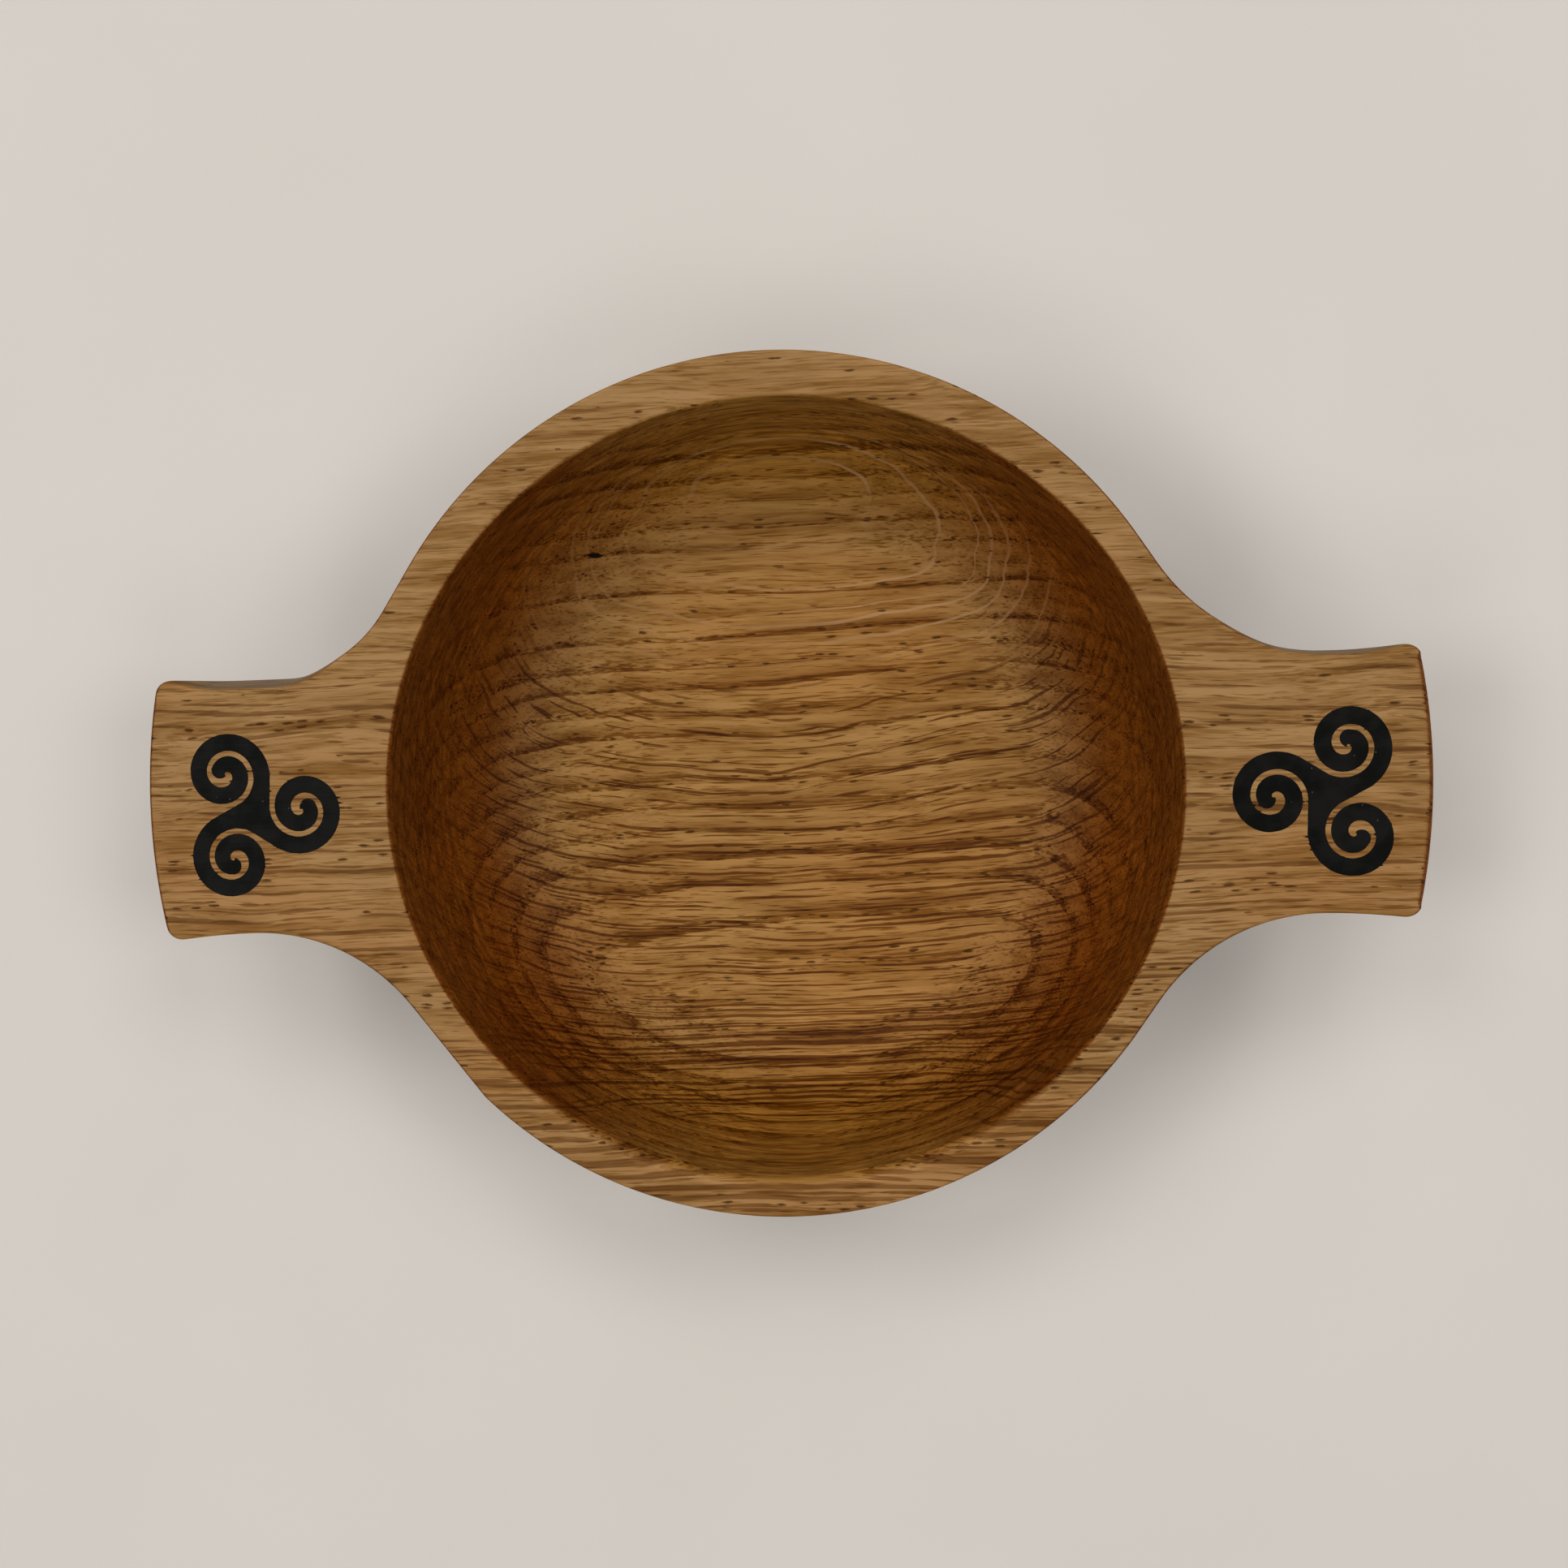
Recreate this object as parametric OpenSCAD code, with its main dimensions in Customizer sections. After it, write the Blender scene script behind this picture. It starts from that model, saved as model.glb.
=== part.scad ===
// Quaich: a shallow two-handled drinking bowl turned from one piece of oak.
// Each flat lug carries a triple spiral of black resin, poured into a pocket and ground flush.
// The origin is on the table under the middle of the bowl, +Z is up and the lugs lie along X.

/* [Bowl] */
// Outside diameter of the rim
rim_d = 114.5; // [104:0.5:126]
// Width of the rim at its top, before its edges are rounded
rim_w = 4.7; // [3.8:0.1:6]
// Depth of the inside, from the rim down to the middle of the floor
inside_depth = 32; // [29:0.5:36]
// Thickness of the floor at its middle
floor_t = 6; // [5:0.25:9]
// Lean of the inside wall away from upright, in degrees
wall_lean = 6; // [2:0.5:9]
// Radius of the inside corner where the wall turns into the floor
inner_corner_r = 19; // [14:0.5:22]
// Radius of the gently dished floor
floor_dish_r = 270; // [180:5:500]
// Rounding of the inner edge of the rim
rim_inner_edge_r = 1.5; // [0.6:0.1:1.8]
// Rounding of the outer edge of the rim
rim_outer_edge_r = 0.8; // [0.4:0.1:1.2]

/* [Foot] */
// Outside diameter of the foot ring
foot_d = 56; // [48:0.5:62]
// Height of the foot ring
foot_h = 4; // [3:0.25:6]
// Width of the foot ring's flat underside
foot_ring_w = 5; // [3:0.25:8]
// Depth of the recess inside the foot ring
foot_recess_h = 2; // [1:0.25:3]
// Radius of the sweep between the foot ring and the bowl
foot_sweep_r = 2.5; // [1:0.25:2.75]

/* [Lugs] */
// Length of a lug from the rim to its end
lug_l = 27.75; // [25:0.25:34]
// Width of a lug at its narrowest, where its side starts to sweep towards the rim
lug_neck_w = 34.2; // [30:0.1:40]
// Extra width of a lug at its end
lug_flare = 1.1; // [0:0.1:3]
// Thickness of a lug
lug_t = 9; // [7:0.25:12]
// Radius of the sweep from the side of a lug to the rim
lug_sweep_r = 26.5; // [20:0.5:32]
// Depth by which that sweep bites into the rim circle
sweep_bite = 0.25; // [0.15:0.05:0.5]
// Radius of the cove under a lug
lug_cove_r = 5; // [2:0.25:7]
// Rounding of the edges of a lug
lug_edge_r = 1.2; // [0.6:0.1:1.6]
// Rounding of the two corners of a lug, seen from above
lug_corner_r = 2.2; // [1.8:0.1:4]
// Angle by which each lug falls off the long axis, as sawn by hand
lug_skew = 0.93; // [0:0.01:2]

/* [Inlays] */
// Distance of each spiral's eye from the middle of its inlay
eye_reach = 6.65; // [6:0.05:7.5]
// Width of a spiral arm
arm_w = 2.3; // [1.8:0.05:2.5]
// Width of the wood left between two turns of an arm
arm_gap = 0.7; // [0.6:0.05:1.2]
// Distance from the eye at which an arm ends in a round tip
tip_reach = 0.9; // [0.8:0.05:1.2]
// Depth of an inlay
inlay_depth = 3; // [1.5:0.25:4]
// Gap that the cured resin leaves at the wall of its pocket
resin_shrinkage = 0.02; // [0.01:0.01:0.1]
// Shift of the left inlay towards the lug's end, away from the lug's middle
left_inlay_shift = -0.6; // [-1:0.1:1]
// Shift of the right inlay towards the lug's end, away from the lug's middle
right_inlay_shift = -0.1; // [-1:0.1:1]
// Drop of the left inlay below the middle line of its lug
left_inlay_drop = 1.05; // [0:0.05:2]
// Drop of the right inlay below the middle line of its lug
right_inlay_drop = 1.4; // [0:0.05:2]
// Turn of both inlays, in degrees
inlay_turn = 4.9; // [-15:0.1:15]

/* [Hidden] */
$fn = 96;
oak_colour = "#9A7646";
resin_colour = "#171614";
cut_past = 1;
spiral_step = 12;
arm_count = 3;

rim_r = rim_d / 2;
rim_inner_r = rim_r - rim_w;
lug_end_r = rim_r + lug_l;
lug_w = lug_neck_w + lug_flare;
foot_r = foot_d / 2;
floor_z = foot_recess_h + floor_t;
rim_z = floor_z + inside_depth;
lug_under_z = rim_z - lug_t;
cove_foot_z = lug_under_z - lug_cove_r;
inlay_z = rim_z - inlay_depth;
root_overlap = rim_w / 2;

// The outside wall stands upright down to the foot of the coves, then turns under towards the foot ring
outer_corner_r = min(cove_foot_z - foot_h, rim_r - foot_r - foot_sweep_r);
wall_turn_z = foot_h + outer_corner_r;

// The inside corner touches the leaning wall and lies inside the large circle of the floor
lean_rate = tan(wall_lean);
corner_reach = rim_inner_r - inner_corner_r / cos(wall_lean);
dish_above_rim = floor_dish_r - inside_depth;
corner_lead = dish_above_rim - corner_reach * lean_rate;
corner_rest = corner_reach ^ 2 + dish_above_rim ^ 2 - (floor_dish_r - inner_corner_r) ^ 2;
corner_square = 1 + lean_rate ^ 2;
corner_below_rim = (sqrt(corner_lead ^ 2 - corner_square * corner_rest) - corner_lead) / corner_square;
corner_centre = [corner_reach - corner_below_rim * lean_rate, rim_z - corner_below_rim];
dish_centre = [0, floor_z + floor_dish_r];
wall_foot = corner_centre + inner_corner_r * [cos(wall_lean), -sin(wall_lean)];
floor_edge = corner_centre + (corner_centre - dish_centre) * inner_corner_r / (floor_dish_r - inner_corner_r);

// The rounding of the rim's inner edge touches the leaning wall and the rim's top
mouth_reach = rim_inner_r + rim_inner_edge_r * (1 - sin(wall_lean)) / cos(wall_lean);
mouth_centre = [mouth_reach, rim_z - rim_inner_edge_r];
mouth_foot = mouth_centre + rim_inner_edge_r * [-cos(wall_lean), sin(wall_lean)];

// The sweep at a lug's side is a circle that touches the narrowest width and bites a little into the rim
sweep_y = lug_neck_w / 2 + lug_sweep_r;
sweep_x = sqrt((rim_r + lug_sweep_r - sweep_bite) ^ 2 - sweep_y ^ 2);
corner_y = lug_w / 2 - lug_corner_r;
corner_x = sqrt((lug_end_r - lug_corner_r) ^ 2 - corner_y ^ 2);

// An arm winds inwards at a steady rate: t is the angle wound since the middle of the inlay
arm_pitch = arm_w + arm_gap;
arm_winding = 360 * (eye_reach - arm_w / 2 - tip_reach) / arm_pitch;
function arm_r(t) = eye_reach - arm_w / 2 - arm_pitch * t / 360;

// One edge of an arm leaves on a straight line that touches the outer edge of the next arm
eye_spacing = 2 * eye_reach * sin(180 / arm_count);
eye_side_angle = 90 - 180 / arm_count;
function parting_angle(t) = acos(min(1, (arm_r(0) + arm_r(t)) / eye_spacing));
arm_parting = parting_angle(eye_side_angle + parting_angle(eye_side_angle));
outer_edge_start = eye_side_angle + arm_parting;
inner_edge_end = arm_parting - eye_side_angle;

function polar(r, a) = r * [cos(a), sin(a)];
function turned(p, a) = [p.x * cos(a) - p.y * sin(a), p.x * sin(a) + p.y * cos(a)];
function step_count(from, to) = ceil(abs(to - from) / spiral_step);
function steps(from, to) = [for (i = [0:step_count(from, to)]) from + (to - from) * i / step_count(from, to)];

// One arm seen from its eye, with the middle of the inlay towards +X
function outer_edge(half_w) = [for (t = steps(outer_edge_start, arm_winding)) polar(arm_r(t) + half_w, t)];
function inner_edge(half_w) = [for (t = steps(arm_winding, inner_edge_end)) polar(arm_r(t) - half_w, t)];
function round_tip(half_w) = [
    for (a = steps(spiral_step, 180 - spiral_step))
        polar(tip_reach, arm_winding) + polar(half_w, arm_winding + a)
];
function arm_points(half_w) = concat(outer_edge(half_w), round_tip(half_w), inner_edge(half_w));
function triskele_points(half_w) = [
    for (k = [0:arm_count - 1], p = arm_points(half_w)) turned(p - [eye_reach, 0], k * 360 / arm_count)
];

// Cuts away a square edge at the origin, leaving a quarter circle; the wood lies towards -X and -Y
module edge_cut(r) {
    difference() {
        translate([-r, -r])
            square(r + cut_past);
        translate([-r, -r])
            circle(r);
    }
}

// Cuts the upper and lower edge of a lug's upright face; the wood lies towards -X
module lug_edge_cuts() {
    translate([0, rim_z])
        edge_cut(lug_edge_r);
    translate([0, lug_under_z])
        mirror([0, 1])
            edge_cut(lug_edge_r);
    translate([-lug_edge_r, cove_foot_z - cut_past])
        square([lug_edge_r + cut_past, lug_cove_r + cut_past]);
}

// Half section of the bowl and foot without the hollow
module outside_section() {
    difference() {
        union() {
            square([foot_r, foot_h]);
            translate([foot_r - cut_past, foot_h - foot_sweep_r])
                square([cut_past + foot_sweep_r, foot_sweep_r]);
            translate([0, foot_h])
                square([rim_r - outer_corner_r, rim_z - foot_h]);
            translate([0, wall_turn_z])
                square([rim_r, rim_z - wall_turn_z]);
            intersection() {
                translate([rim_r - outer_corner_r, wall_turn_z])
                    circle(outer_corner_r);
                translate([rim_r - outer_corner_r, foot_h])
                    square(outer_corner_r);
            }
        }
        translate([foot_r + foot_sweep_r, foot_h - foot_sweep_r])
            circle(foot_sweep_r);
        square([foot_r - foot_ring_w, foot_recess_h]);
        translate([rim_r, rim_z])
            edge_cut(rim_outer_edge_r);
    }
}

// Half section of the hollow, with the rounded inner edge of the rim
module hollow_section() {
    intersection() {
        translate(dish_centre)
            circle(floor_dish_r);
        polygon([
            [0, floor_z - cut_past],
            [floor_edge.x, floor_z - cut_past],
            floor_edge,
            corner_centre,
            [0, corner_centre.y]
        ]);
    }
    intersection() {
        translate(corner_centre)
            circle(inner_corner_r);
        polygon([corner_centre, floor_edge, [wall_foot.x, floor_edge.y], wall_foot]);
    }
    polygon([[0, corner_centre.y], corner_centre, wall_foot, mouth_foot, [0, mouth_foot.y]]);
    difference() {
        polygon([
            [0, mouth_foot.y],
            mouth_foot,
            mouth_centre,
            [mouth_centre.x, rim_z + cut_past],
            [0, rim_z + cut_past]
        ]);
        translate(mouth_centre)
            circle(rim_inner_edge_r);
    }
}

// Half section of the flange that the lugs are sawn from, with the cove under it
module flange_section() {
    difference() {
        union() {
            translate([rim_r - root_overlap, lug_under_z])
                square([root_overlap + lug_l, lug_t]);
            translate([rim_r - root_overlap, cove_foot_z])
                square([root_overlap + lug_cove_r, lug_cove_r]);
        }
        translate([rim_r + lug_cove_r, cove_foot_z])
            circle(lug_cove_r);
        translate([lug_end_r, 0])
            lug_edge_cuts();
    }
}

// Straight bar as wide as a lug's end
module lug_bar() {
    rotate([90, 0, 90])
        linear_extrude(lug_end_r + cut_past)
            difference() {
                translate([-lug_w / 2, cove_foot_z - cut_past])
                    square([lug_w, lug_t + lug_cove_r + 2 * cut_past]);
                for (side = [0, 1])
                    mirror([side, 0])
                        translate([lug_w / 2, 0])
                            lug_edge_cuts();
            }
}

// Wedge that reaches from the rim to the middles of both sweeps
module lug_root() {
    translate([0, 0, cove_foot_z - cut_past])
        linear_extrude(lug_t + lug_cove_r + 2 * cut_past)
            polygon([[0, 0], [sweep_x, -sweep_y], [sweep_x, sweep_y]]);
}

// Round cutter that leaves the sweep between a lug's side and the rim
module sweep_cutter() {
    translate([sweep_x, sweep_y, 0])
        rotate_extrude() {
            translate([0, cove_foot_z - cut_past])
                square([lug_sweep_r, lug_t + lug_cove_r + 2 * cut_past]);
            translate([lug_sweep_r, 0])
                mirror([1, 0])
                    lug_edge_cuts();
        }
}

// Cutter that rounds one corner of a lug, seen from above
module corner_cutter() {
    end_point = [corner_x, corner_y] * lug_end_r / (lug_end_r - lug_corner_r);
    difference() {
        translate([0, 0, cove_foot_z - cut_past])
            linear_extrude(lug_t + lug_cove_r + 2 * cut_past)
                polygon([
                    [corner_x, corner_y],
                    [corner_x, lug_w / 2 + cut_past],
                    [lug_end_r + cut_past, lug_w / 2 + cut_past],
                    end_point * (1 + cut_past / lug_end_r)
                ]);
        translate([corner_x, corner_y, 0])
            rotate_extrude()
                difference() {
                    translate([0, cove_foot_z - 2 * cut_past])
                        square([lug_corner_r, lug_t + lug_cove_r + 4 * cut_past]);
                    translate([lug_corner_r, 0])
                        lug_edge_cuts();
                }
    }
}

// One lug that points along +X
module lug() {
    difference() {
        intersection() {
            rotate_extrude()
                flange_section();
            union() {
                lug_bar();
                lug_root();
            }
        }
        for (side = [0, 1])
            mirror([0, side, 0]) {
                sweep_cutter();
                corner_cutter();
            }
    }
}

// Places an inlay or its pocket in the lug that points in the given direction
module in_lug(direction, shift, drop) {
    reach = rim_r + lug_l / 2 + shift;
    translate([reach * cos(direction), reach * sin(direction) - drop, inlay_z])
        rotate(round(direction / 180) * 180 + inlay_turn)
            children();
}

module in_left_lug() {
    in_lug(180 + lug_skew, left_inlay_shift, left_inlay_drop)
        children();
}

module in_right_lug() {
    in_lug(-lug_skew, right_inlay_shift, right_inlay_drop)
        children();
}

module pocket() {
    linear_extrude(inlay_depth + cut_past)
        polygon(triskele_points(arm_w / 2));
}

module inlay() {
    linear_extrude(inlay_depth)
        polygon(triskele_points(arm_w / 2 - resin_shrinkage));
}

module quaich_body() {
    color(oak_colour)
        difference() {
            union() {
                rotate_extrude()
                    difference() {
                        outside_section();
                        hollow_section();
                    }
                rotate(-lug_skew)
                    lug();
                rotate(180 + lug_skew)
                    lug();
            }
            in_left_lug()
                pocket();
            in_right_lug()
                pocket();
        }
}

module left_triskele_inlay() {
    color(resin_colour)
        in_left_lug()
            inlay();
}

module right_triskele_inlay() {
    color(resin_colour)
        in_right_lug()
            inlay();
}

quaich_body();
left_triskele_inlay();
right_triskele_inlay();
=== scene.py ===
# %% [markdown]
# # A quaich in oak and black resin
# A quaich is a shallow Scottish drinking bowl with a flat lug on either side. This one is turned from one
# piece of oak. Each lug carries a triple spiral, a triskele, that was cut as a pocket, filled with black
# resin and ground flush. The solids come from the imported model, which is the fixed frame here: its box, its
# bodies and its nodes say where everything is. This lesson gives each of its three pieces a finer mesh and a
# real finish.

# %% Load the frame and keep its box
import math

import bmesh
import bpy
from mathutils import Matrix, Vector


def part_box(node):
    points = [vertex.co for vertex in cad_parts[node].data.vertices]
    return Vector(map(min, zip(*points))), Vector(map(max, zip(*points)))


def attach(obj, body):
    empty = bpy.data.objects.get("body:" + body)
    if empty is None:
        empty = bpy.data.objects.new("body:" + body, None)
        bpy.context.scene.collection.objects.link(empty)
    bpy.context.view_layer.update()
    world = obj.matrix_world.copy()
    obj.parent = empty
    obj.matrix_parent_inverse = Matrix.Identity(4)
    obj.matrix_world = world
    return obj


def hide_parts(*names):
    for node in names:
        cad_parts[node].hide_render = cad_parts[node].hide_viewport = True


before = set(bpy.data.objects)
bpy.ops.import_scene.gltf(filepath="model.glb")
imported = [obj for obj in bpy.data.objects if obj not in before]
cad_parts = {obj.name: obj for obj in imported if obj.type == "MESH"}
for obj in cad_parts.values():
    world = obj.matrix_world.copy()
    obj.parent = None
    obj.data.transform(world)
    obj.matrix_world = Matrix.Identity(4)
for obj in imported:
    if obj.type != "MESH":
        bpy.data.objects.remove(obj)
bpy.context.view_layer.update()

MM = 0.001
print("nodes:", sorted(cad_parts))

# %% [markdown]
# ## Sizes
# What can be measured on the frame is measured: the rim's radius and height and the reach of the lugs. The
# other sizes are the maker's own, in millimetres, and all the shapes below are worked out from them. The
# script works in millimetres and turns to metres only when a mesh is made.

# %% Sizes in millimetres
body_low, body_high = (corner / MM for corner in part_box("quaich_body"))
RIM_R = min(body_high.y, -body_low.y)
RIM_Z = body_high.z
LUG_SKEW = math.radians(0.93)
LUG_END_R = body_high.x
RIM_W = 4.7
WALL_LEAN = math.radians(6)
INNER_CORNER_R = 19
FLOOR_Z = 8
FLOOR_DISH_R = 270
print(f"rim {2 * RIM_R:.1f} across, {RIM_Z:.1f} high, lugs reach {LUG_END_R:.1f}")

# %% [markdown]
# ## Camera
# The photograph looks almost straight down from a hand's length above the rim, so the perspective is strong:
# the bowl's floor looks much smaller than its mouth. The camera is placed by how far it hangs above the
# middle of the rim and by three small turns. A matrix does this more plainly than a constraint, because the
# turns then have a fixed order.

# %% Camera above the bowl
CAMERA_HEIGHT = 206.9
CAMERA_SHIFT = Vector((1.05, 0.2, 0))
CAMERA_NOD, CAMERA_LEAN, CAMERA_ROLL = (math.radians(a) for a in (1.1, -3.5, 1.45))
PHOTO_PIXELS, FOCAL_PIXELS = 1932, 1935
SENSOR_W, NEAREST_SEEN = 36, 0.01

camera_turn = Matrix.Identity(3)
for angle, axis in ((CAMERA_NOD, "X"), (CAMERA_LEAN, "Y"), (CAMERA_ROLL, "Z")):
    camera_turn = camera_turn @ Matrix.Rotation(angle, 3, axis)
to_world = camera_turn.transposed()
camera_data = bpy.data.cameras.new("camera")
camera_data.sensor_width = SENSOR_W
camera_data.lens = SENSOR_W * FOCAL_PIXELS / PHOTO_PIXELS
camera_data.clip_start = NEAREST_SEEN
camera = bpy.data.objects.new("camera", camera_data)
bpy.context.scene.collection.objects.link(camera)
bpy.context.scene.camera = camera
eye = Vector((0, 0, RIM_Z)) + to_world @ (CAMERA_SHIFT + Vector((0, 0, CAMERA_HEIGHT)))
camera.matrix_world = Matrix.Translation(eye * MM) @ to_world.to_4x4()
print("camera at", [round(c) for c in eye], "mm")

# %% [markdown]
# ## Small helpers
# Colours are written as the hex values that a paint program shows. The shader needs linear light, so one
# function converts them. Another adds a node to a tree, sets its properties and fills its inputs with values
# or with the outputs of other nodes. With it a material reads as a list of steps. Two more start an empty
# material and turn real sizes in millimetres into the scale of a pattern.

# %% Helpers for colours and nodes
MATH, RANGE, MIX, MAPPING = "ShaderNodeMath", "ShaderNodeMapRange", "ShaderNodeMix", "ShaderNodeMapping"
NOISE, CELLS, VECTOR = "ShaderNodeTexNoise", "ShaderNodeTexVoronoi", "ShaderNodeVectorMath"
SPLIT, JOIN, COORDINATES = "ShaderNodeSeparateXYZ", "ShaderNodeCombineXYZ", "ShaderNodeTexCoord"
SOFT = {"interpolation_type": "SMOOTHSTEP"}
COLOUR = {"data_type": "RGBA", "out": 2}


def linear(hex_colour):
    """An sRGB hex value as linear red, green, blue and alpha."""
    shares = [int(hex_colour[i:i + 2], 16) / 255 for i in (1, 3, 5)]
    return tuple(s / 12.92 if s <= 0.04045 else ((s + 0.055) / 1.055) ** 2.4 for s in shares) + (1,)


def node_adder(tree):
    """The function that adds a node to this tree and returns one of its outputs."""
    def add(kind, inputs=(), out=0, **settings):
        made = tree.nodes.new(kind)
        for name, value in settings.items():
            setattr(made, name, value)
        for key, value in inputs.items() if isinstance(inputs, dict) else enumerate(inputs):
            for one in value if isinstance(value, list) else [value]:
                if isinstance(one, bpy.types.NodeSocket):
                    tree.links.new(one, made.inputs[key])
                else:
                    made.inputs[key].default_value = one
        return made.outputs[out] if made.outputs else made

    return add


def new_material(name):
    """An empty material and the function that adds nodes to it."""
    made = bpy.data.materials.new(name)
    made.use_nodes = True
    made.node_tree.nodes.clear()
    return made, node_adder(made.node_tree)


def cells(*lengths):
    """Mapping scale that makes one unit of a pattern as long as this many millimetres along X, Y and Z."""
    return tuple(1 / length for length in lengths)


print("a mid grey is", round(linear("#808080")[0], 3), "in linear light")

# %% [markdown]
# ## Oak: where the rings and rays lie
# Oak has three marks: growth rings, rows of open pores along the early part of each ring, and thin sheets of
# ray cells that stand out from the middle of the tree like spokes. They are solid things that a lathe cuts
# through, so the pattern is a solid one too: it is worked out at each point from the distance to the pith
# and the angle around it. Then ovals on the floor, long arcs in the corner and short dashes on the lugs all
# appear by themselves, as they do when real wood is turned. No trunk is quite straight, so two noises bend
# the grain, a slow one and a quick one, and one swirl is laid where the bowl has it.

# %% Oak coordinates
GRAIN_TILT, GRAIN_YAW = math.radians(1.5), math.radians(-0.5)
WANDER, WANDER_CELLS = 3.0, cells(80, 26, 26)
RIPPLE, RIPPLE_CELLS = 0.6, cells(17, 5, 5)
SWIRL, SWIRL_FROM, SWIRL_TO, SWIRL_Y, SWIRL_HALF = 3.2, -4, 30, 13, 24

oak, add = new_material("oiled_oak")
surface = add(COORDINATES, out="Normal")
straight = add(MAPPING, {"Vector": add(COORDINATES, out="Object"), "Rotation": (0, GRAIN_TILT, GRAIN_YAW),
                         "Scale": (1 / MM,) * 3})
wander_point = add(MAPPING, {"Vector": straight, "Scale": WANDER_CELLS})
wander = add(NOISE, {"Vector": wander_point, "Scale": 1.0}, out="Color")
wandering = add(VECTOR, [wander, (0, 2 * WANDER, 2 * WANDER), straight], operation="MULTIPLY_ADD")
ripple_point = add(MAPPING, {"Vector": wandering, "Scale": RIPPLE_CELLS})
ripple = add(NOISE, {"Vector": ripple_point, "Scale": 1.0}, out="Color")
grain = add(VECTOR, [ripple, (0, 2 * RIPPLE, 2 * RIPPLE), wandering], operation="MULTIPLY_ADD")
along, across, up = (add(SPLIT, [grain], out=axis) for axis in "XYZ")
place_x, place_y, height = (add(SPLIT, [straight], out=axis) for axis in "XYZ")
normal_x, normal_y, normal_z = (add(SPLIT, [surface], out=axis) for axis in "XYZ")
end_share, lean_share = (add(MATH, [part], operation="ABSOLUTE") for part in (normal_x, normal_y))

# The swirl on the right of the floor lifts the grain towards the top of the picture
from_swirl = add(MATH, [add(MATH, [across, SWIRL_Y], operation="SUBTRACT")], operation="ABSOLUTE")
swirl_window = add(RANGE, [from_swirl, 0, SWIRL_HALF, 1, 0], **SOFT)
swirl_rise = add(RANGE, [along, SWIRL_FROM, SWIRL_TO, 0, SWIRL], **SOFT)
swirl = add(MATH, [swirl_rise, swirl_window], operation="MULTIPLY")
across = add(MATH, [across, swirl], operation="SUBTRACT")
print("grain coordinates take", len(oak.node_tree.nodes), "nodes")

# %% Pith lines
RING_PITH_Y, RING_PITH_Z = -31, -2.5
RAY_PITH_Y, RAY_PITH_Z = -56, -42


def around(pith_y, pith_z):
    """Distance from a pith line along X, and the two steps from that line to the point."""
    y = add(MATH, [across, pith_y], operation="SUBTRACT")
    z = add(MATH, [up, pith_z], operation="SUBTRACT")
    return add(VECTOR, [add(JOIN, {"Y": y, "Z": z})], operation="LENGTH", out="Value"), y, z


ring_reach, ring_y, ring_z = around(RING_PITH_Y, RING_PITH_Z)
ray_reach, ray_y, ray_z = around(RAY_PITH_Y, RAY_PITH_Z)
ray_angle = add(MATH, [ray_z, ray_y], operation="ARCTAN2")
print("the rays' pith lies", -RAY_PITH_Z, "mm below the foot")

# %% [markdown]
# ## Oak: rings
# Each spring the tree grows a band of wide vessels, the earlywood, which soaks up oil and looks dark. The
# denser latewood after it is paler. The band starts sharply and fades out, and no two years are alike: some
# bands are strong and some can hardly be seen. In the picture a band isn't an even stripe but a crowd of
# short dark streaks, so the band only says how likely they are. Some years also left a broad stain. On the
# flat tops of the rim and the lugs, bands and stains are calmer and streaks are fainter.

# %% Rings
RING_W, RING_UNEVEN, RING_UNEVEN_L = 3.5, 1.3, 7.0
BAND_START, BAND_FULL, BAND_END, STAIN_END = 0.05, 0.16, 0.45, 0.95
FAINT_YEARS, FAINTEST = 0.7, 0.3
CUT_ACROSS, CUT_BAND = (0.55, 0.85), 0.45
LYING, LYING_BAND, LYING_STAIN = (0.8, 0.97), 0.3, 0.2

uneven_point = add(MATH, [ring_reach, RING_UNEVEN_L], operation="DIVIDE")
uneven = add(NOISE, {"W": uneven_point, "Scale": 1.0, "Detail": 1.0}, noise_dimensions="1D")
ring_place = add(MATH, [uneven, 2 * RING_UNEVEN, ring_reach], operation="MULTIPLY_ADD")
ring_count = add(MATH, [ring_place, RING_W], operation="DIVIDE")
phase = add(MATH, [ring_count], operation="FRACT")
year_number = add(MATH, [ring_count], operation="FLOOR")
year = add("ShaderNodeTexWhiteNoise", {"W": year_number}, noise_dimensions="1D")
year_strength = add(RANGE, [year, 0.0, FAINT_YEARS, FAINTEST, 1.0])
long_grain = add(RANGE, [end_share, *CUT_ACROSS, 1.0, CUT_BAND], **SOFT)
year_strength = add(MATH, [year_strength, long_grain], operation="MULTIPLY")
band_rise = add(MATH, [add(RANGE, [phase, 0.0, BAND_START], **SOFT), year_strength], operation="MULTIPLY")
band_fall = add(RANGE, [phase, BAND_FULL, BAND_END, 1.0, 0.0], **SOFT)
band = add(MATH, [band_rise, band_fall], operation="MULTIPLY")

# Where a ring lies in the surface its band would spread out wide, and there it is thin
upright = add(MATH, [normal_z, ring_z], operation="MULTIPLY")
lying = add(MATH, [normal_y, ring_y, upright], operation="MULTIPLY_ADD")
lying = add(MATH, [add(MATH, [lying, ring_reach], operation="DIVIDE")], operation="ABSOLUTE")
thin_band = add(RANGE, [lying, *LYING, 1.0, LYING_BAND], **SOFT)
clear_band = add(MATH, [band, thin_band], operation="MULTIPLY")
print("rings are", RING_W, "mm wide on average")

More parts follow.
